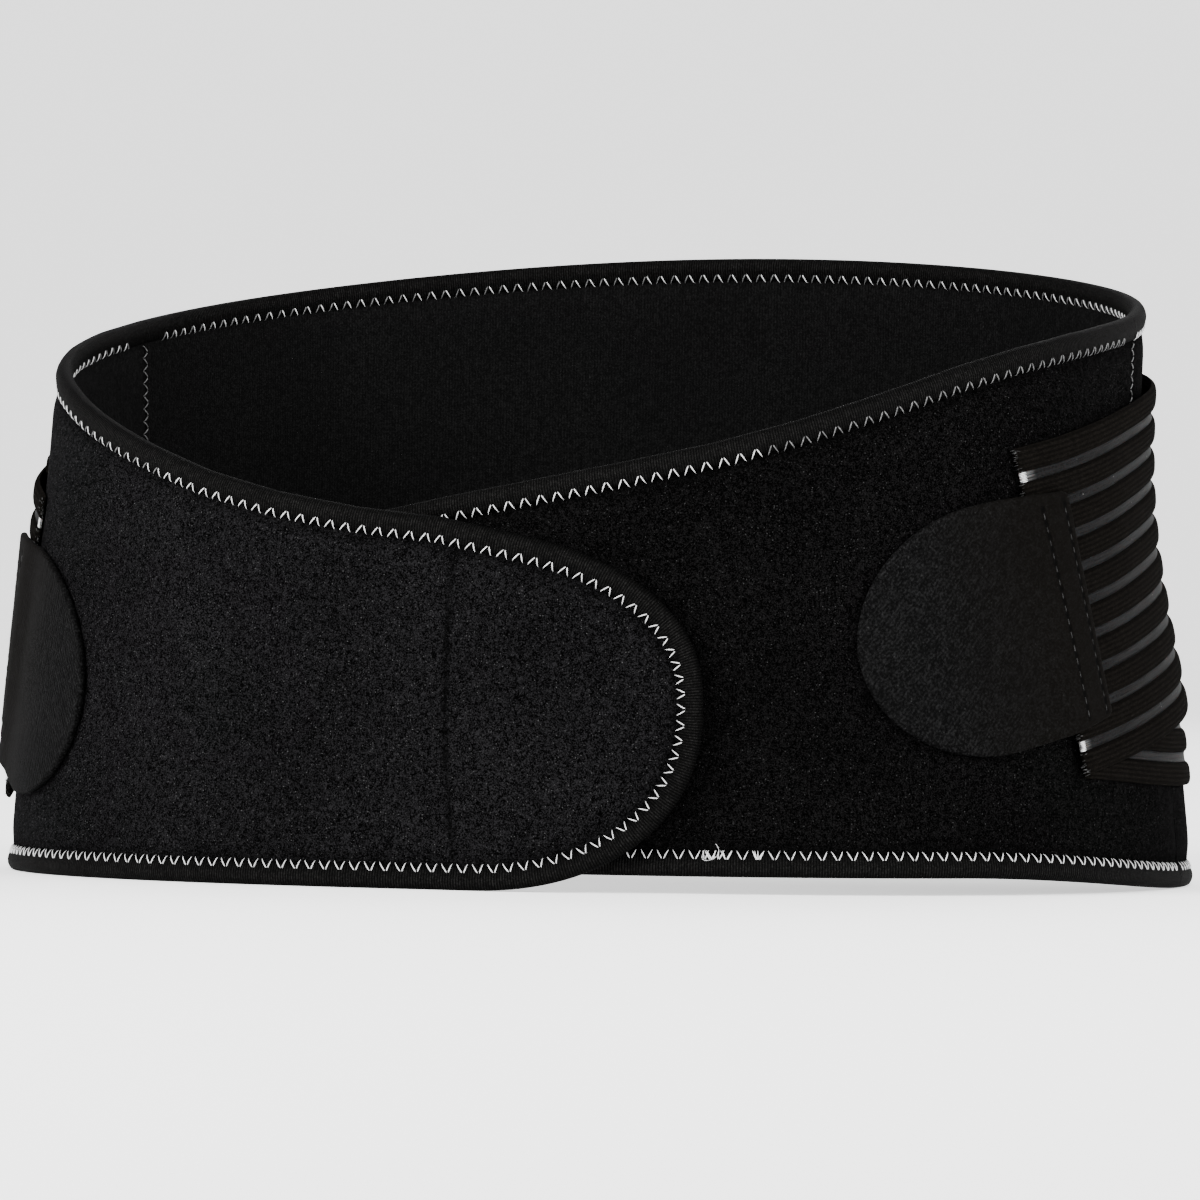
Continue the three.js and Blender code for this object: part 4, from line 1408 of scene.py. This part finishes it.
@dataclass
class Tabs:
    """D-shaped tabs on the front ends of the straps."""

    webbing: Webbing
    finishes: Finishes
    length: float = 86.6
    back_half: float = 35.0
    half: float = 38.0
    round_start: float = 38.0
    thickness: float = 2.2
    rounding: float = 0.7
    overlap: float = 14.6
    step_start: float = 2.0
    step_down: float = 14.0

    def place(self, side: Side) -> Callable:
        """Chart of a tab: distance from its straight edge, across and out."""
        height, angle = self.webbing.line(side, np.array(self.webbing.strap_end))
        axis = np.array([math.cos(angle), math.sin(angle)])

        def chart(distance: np.ndarray, across: np.ndarray, out: np.ndarray) -> np.ndarray:
            """Points of the tab, which steps down from the strap onto the panel."""
            forward = self.overlap - distance
            reach = side.value * (self.webbing.strap_end + axis[0] * forward - axis[1] * across)
            tall = height + axis[1] * forward + axis[0] * across
            over = 1.0 - smooth(distance - self.overlap, self.step_start, self.step_down)
            stand = self.webbing.strap_stand(reach) + self.webbing.layer * over
            return self.webbing.pattern.ring.place(reach, tall, stand + out)
        return chart

    def covers(self, reach: np.ndarray, height: np.ndarray) -> np.ndarray:
        """1 where a tab lies on the panels, easing to 0 beside it."""
        near = self.webbing.pattern.ring.wrapped(reach)
        masks = []
        for side in Side:
            middle, angle = self.webbing.line(side, np.array(self.webbing.strap_end))
            forward = side.value * near - self.webbing.strap_end
            distance = self.overlap - forward * np.cos(angle) - (height - middle) * np.sin(angle)
            across = (height - middle) * np.cos(angle) - forward * np.sin(angle)
            away = np.hypot(np.maximum(distance - self.round_start, 0.0) / (
                self.length - self.round_start), across / self.half)
            masks.append((1.0 - smooth(away, 1.0, 1.15)) * smooth(distance, -6.0, 0.0))
        return np.maximum(*masks)

    def outline(self, count: int = 96) -> np.ndarray:
        """Outline of the D as (distance, across), walked round.

        Its half width grows by a sine quarter to the start of the rounding and then
        follows an ellipse to the tip; the corners of the straight edge are eased.
        """
        flat = np.array([0.0, 0.25, 0.8, 1.8, 4.0, 8.0, 14.0, 20.0, 26.0, 32.0])
        ease = np.array([1.6, 0.8, 0.3] + [0.0] * 7)
        wide = self.back_half + (self.half - self.back_half) * np.sin(
            flat / self.round_start * math.pi / 2.0) - ease
        turn = np.linspace(0.0, math.pi, count)
        tip = np.stack([self.round_start + (self.length - self.round_start) * np.sin(turn),
                        self.half * np.cos(turn)], -1)
        upper = np.stack([flat, wide], -1)
        edge = np.stack([np.zeros(21), np.linspace(-wide[0], wide[0], 23)[1:-1]], -1)
        walk = np.concatenate([upper, tip, upper[::-1] * [1.0, -1.0], edge])
        return walk[: len(walk) // 2 * 2]

    def build(self) -> None:
        """Builds both tabs with their stitches."""
        for side in Side:
            chart = self.place(side)
            outline = self.outline()
            centre = np.array([40.0, 0.0])
            inset = np.array([0.0, 0.12, 0.35, 0.7, 1.5, 4.0, 8.0, 13.0, 19.0, 25.0, 31.0, 36.5])
            share = 1.0 - inset / self.half
            edge = 1.0 - np.clip(inset / self.rounding, 0, 1)
            bulge = self.thickness / 2.0 * np.sqrt(1.0 - edge[:, None] ** 2)
            spot = centre + (outline - centre)[None] * share[:, None, None]
            seam = sum(np.exp(-((spot[..., 0] - row) / 0.8) ** 2) for row in TAB_ROWS)
            middle = self.thickness / 2.0
            upper = chart(spot[..., 0], spot[..., 1], middle + bulge - 0.3 * seam)[::-1]
            lower = chart(spot[..., 0], spot[..., 1], middle - bulge)[1:]
            flat = np.concatenate([spot, np.zeros_like(spot[..., :1])], -1)
            weave = np.concatenate([flat[::-1], flat[1:]])
            made = Surface.tube(np.concatenate([upper, lower]), weave).piece(
                f"pull_tab_{side.word}_cloth", [self.finishes.tab], "tab_cloth")
            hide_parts(f"pull_tab_{side.word}")
            self.stitches(side, chart)

    @staticmethod
    def area(outline: np.ndarray) -> float:
        """Area inside an outline."""
        after = np.roll(outline, -1, axis=0)
        return float(abs(np.sum(outline[:, 0] * after[:, 1] - after[:, 0] * outline[:, 1])) / 2.0)

    def stitches(self, side: Side, chart: Callable) -> None:
        """Two dashed rows near the straight edge."""
        start = np.arange(-TAB_ROW_HALF, TAB_ROW_HALF - TAB_STITCH, TAB_STITCH)
        first = np.concatenate([spread(row, start) for row in TAB_ROWS])
        Stitches.laid(chart, first, first + [0.0, TAB_STITCH * 0.72], self.thickness - 0.28,
                      (0.22, 0.22), sink=0.4).piece(
            f"pull_tab_{side.word}_stitches", [self.finishes.dark_thread], "tab_cloth")


@dataclass
class RootTape:
    """Tape over the strap roots at the back centre."""

    webbing: Webbing
    finishes: Finishes
    width: float = 26.0
    thickness: float = 1.2
    margin: float = 9.0

    def place(self, along: np.ndarray, across: np.ndarray, out: np.ndarray) -> np.ndarray:
        """Chart of the tape: height, across and out; it steps over the straps."""
        low = self.webbing.root_height - self.webbing.width / 2.0
        high = low + self.webbing.width
        over = smooth(along, low - self.margin, low - 0.5) * (
            1.0 - smooth(along, high + 0.5, high + self.margin))
        reach = self.webbing.pattern.ring.back + across
        stand = self.webbing.strap_stand(reach) + self.webbing.layer * over
        return self.webbing.pattern.ring.place(reach, along, stand + out)

    def build(self) -> None:
        """Builds the tape with a row of stitches down each side."""
        low = self.webbing.band_height - self.margin
        high = self.webbing.root_height + self.webbing.width / 2.0 + self.margin
        along = even(low, high, 2.0)
        half, thick, ease = self.width / 2.0, self.thickness, 0.35
        across = np.array([-half, -half + ease, 0.0, half - ease, half, half, 0.0, -half])
        out = np.array([thick - ease, thick, thick, thick, thick - ease, 0.0, 0.0, 0.0])
        made = Surface.swept(self.place, along, across, out).piece(
            "centre_back_tape_cloth", [self.finishes.tape], "binding_tape")
        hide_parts("centre_back_tape")
        stitch = 3.0
        start = np.arange(low + 3.0, high - 5.0, stitch)
        first = np.concatenate([spread(start, column) for column in (-half + 2.5, half - 2.5)])
        Stitches.laid(self.place, first, first + [stitch * 0.78, 0.0], thick - 0.05, (0.2, 0.2),
                      sink=0.4).piece("centre_back_tape_stitches", [self.finishes.dark_thread],
                                      "binding_tape")


# ---- Studio


@dataclass
class Studio:
    """Pale floor and wall, soft lights and the camera."""

    tone: Colour = (0.88, 0.88, 0.88, 1.0)
    glow: float = 0.8
    heading: float = 0.376
    pitch: float = math.atan(8.0 / 7452.0)
    roll: float = 0.0109
    place: tuple[float, float, float] = (0.879, -2.226, 0.086)
    lens: float = 223.6

    def backdrop(self) -> None:
        """Floor that curves up into a wall behind the belt, square to the camera."""
        turn = np.linspace(0.0, math.pi / 2.0, 24)
        deep = np.concatenate([[-6.0], 4.0 + 2.0 * np.sin(turn), [6.0]])
        tall = np.concatenate([[0.0], 2.0 - 2.0 * np.cos(turn), [9.0]])
        wide = np.linspace(-9.0, 9.0, 19)
        ahead = np.array([-math.sin(self.heading), math.cos(self.heading)])
        beside = np.array([math.cos(self.heading), math.sin(self.heading)])
        flat = deep[:, None, None] * ahead + wide[None, :, None] * beside
        points = spread(flat[..., 0], flat[..., 1], tall[:, None])
        rows, columns = points.shape[:2]
        vertex = np.arange(rows * columns).reshape(rows, columns)
        quads = np.stack([vertex[:-1, :-1], vertex[:-1, 1:], vertex[1:, 1:], vertex[1:, :-1]], -1)
        mesh = bpy.data.meshes.new("floor")
        mesh.from_pydata(points.reshape(-1, 3).tolist(), [], quads.reshape(-1, 4).tolist())
        mesh.shade_smooth()
        paint = bpy.data.materials.new("floor_paint")
        paint.use_nodes = True
        shader = paint.node_tree.nodes["Principled BSDF"]
        for socket, value in (("Base Color", self.tone), ("Roughness", 0.9),
                              ("Emission Color", self.tone), ("Emission Strength", self.glow)):
            shader.inputs[socket].default_value = value
        mesh.materials.append(paint)
        floor = bpy.data.objects.new("floor", mesh)
        bpy.context.scene.collection.objects.link(floor)

    def light(self, name: str, power: float, size: float, azimuth: float, height: float,
              away: float) -> None:
        """One square soft light aimed at the belt.

        Args:
            name: Name of the light.
            power: Power in watts.
            size: Side of the square in metres.
            azimuth: Degrees round from the camera's heading, positive to its right.
            height: Height above the floor in metres.
            away: Level distance from the belt in metres.
        """
        lamp = bpy.data.lights.new(name, "AREA")
        lamp.energy, lamp.size = power, size
        turn = math.radians(azimuth) + self.heading
        spot = Vector((math.sin(turn) * away, -math.cos(turn) * away, height))
        made = bpy.data.objects.new(name, lamp)
        made.matrix_world = Matrix.Translation(spot) @ (
            spot - Vector((0.0, 0.0, 0.1))).to_track_quat("Z", "Y").to_matrix().to_4x4()
        bpy.context.scene.collection.objects.link(made)

    def camera(self) -> None:
        """The photograph's long lens from the belt's left front, rolled a little."""
        level = Vector((math.cos(self.heading), math.sin(self.heading), 0.0))
        ahead = Vector((-math.sin(self.heading) * math.cos(self.pitch),
                        math.cos(self.heading) * math.cos(self.pitch), math.sin(self.pitch)))
        upright = level.cross(ahead)
        right = level * math.cos(self.roll) + upright * math.sin(self.roll)
        up = upright * math.cos(self.roll) - level * math.sin(self.roll)
        lens = bpy.data.cameras.new("camera")
        lens.lens, lens.clip_end = self.lens, 100.0
        made = bpy.data.objects.new("camera", lens)
        turned = Matrix((right, up, -ahead)).transposed().to_4x4()
        made.matrix_world = Matrix.Translation(Vector(self.place)) @ turned
        bpy.context.scene.collection.objects.link(made)
        bpy.context.scene.camera = made

    def build(self) -> None:
        """Sets the stage."""
        self.backdrop()
        world = bpy.data.worlds.new("studio")
        world.use_nodes = True
        sky = world.node_tree.nodes["Background"].inputs
        sky["Color"].default_value, sky["Strength"].default_value = grey(1.0), 1.1
        bpy.context.scene.world = world
        for name, power, size, azimuth, height, away in (
                ("key", 110.0, 1.4, -50.0, 1.2, 2.0), ("fill", 80.0, 1.4, 62.0, 1.0, 2.0),
                ("back", 60.0, 2.0, 165.0, 2.2, 2.4)):
            self.light(name, power, size, azimuth, height, away)


def hook_patch(finishes: Finishes) -> None:
    """Dresses the hook patch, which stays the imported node."""
    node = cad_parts["hook_patch"]
    node.data.materials.clear()
    node.data.materials.append(finishes.hook)


def main() -> None:
    """Builds every part of the belt and the studio."""
    logging.basicConfig(level=logging.INFO, format="%(message)s")
    pattern = Pattern(Ring())
    finishes = Finishes()
    webbing = Webbing(pattern, finishes)
    tabs = Tabs(webbing, finishes)

    def covered(reach: np.ndarray, height: np.ndarray) -> np.ndarray:
        """1 where webbing or a tab presses on the panels."""
        return np.maximum(webbing.covers(reach, height), tabs.covers(reach, height))

    Panels(pattern, finishes, covered).build()
    rims = Bindings(pattern, finishes).build()
    zigzag = Zigzag(finishes)
    for name, rim in rims.items():
        zigzag.build(name, rim, pattern.thickness)
    zigzag.seams(pattern)
    webbing.build()
    tabs.build()
    RootTape(webbing, finishes).build()
    hook_patch(finishes)
    studio = Studio()
    studio.build()
    studio.camera()


if __name__ == "__main__":
    main()
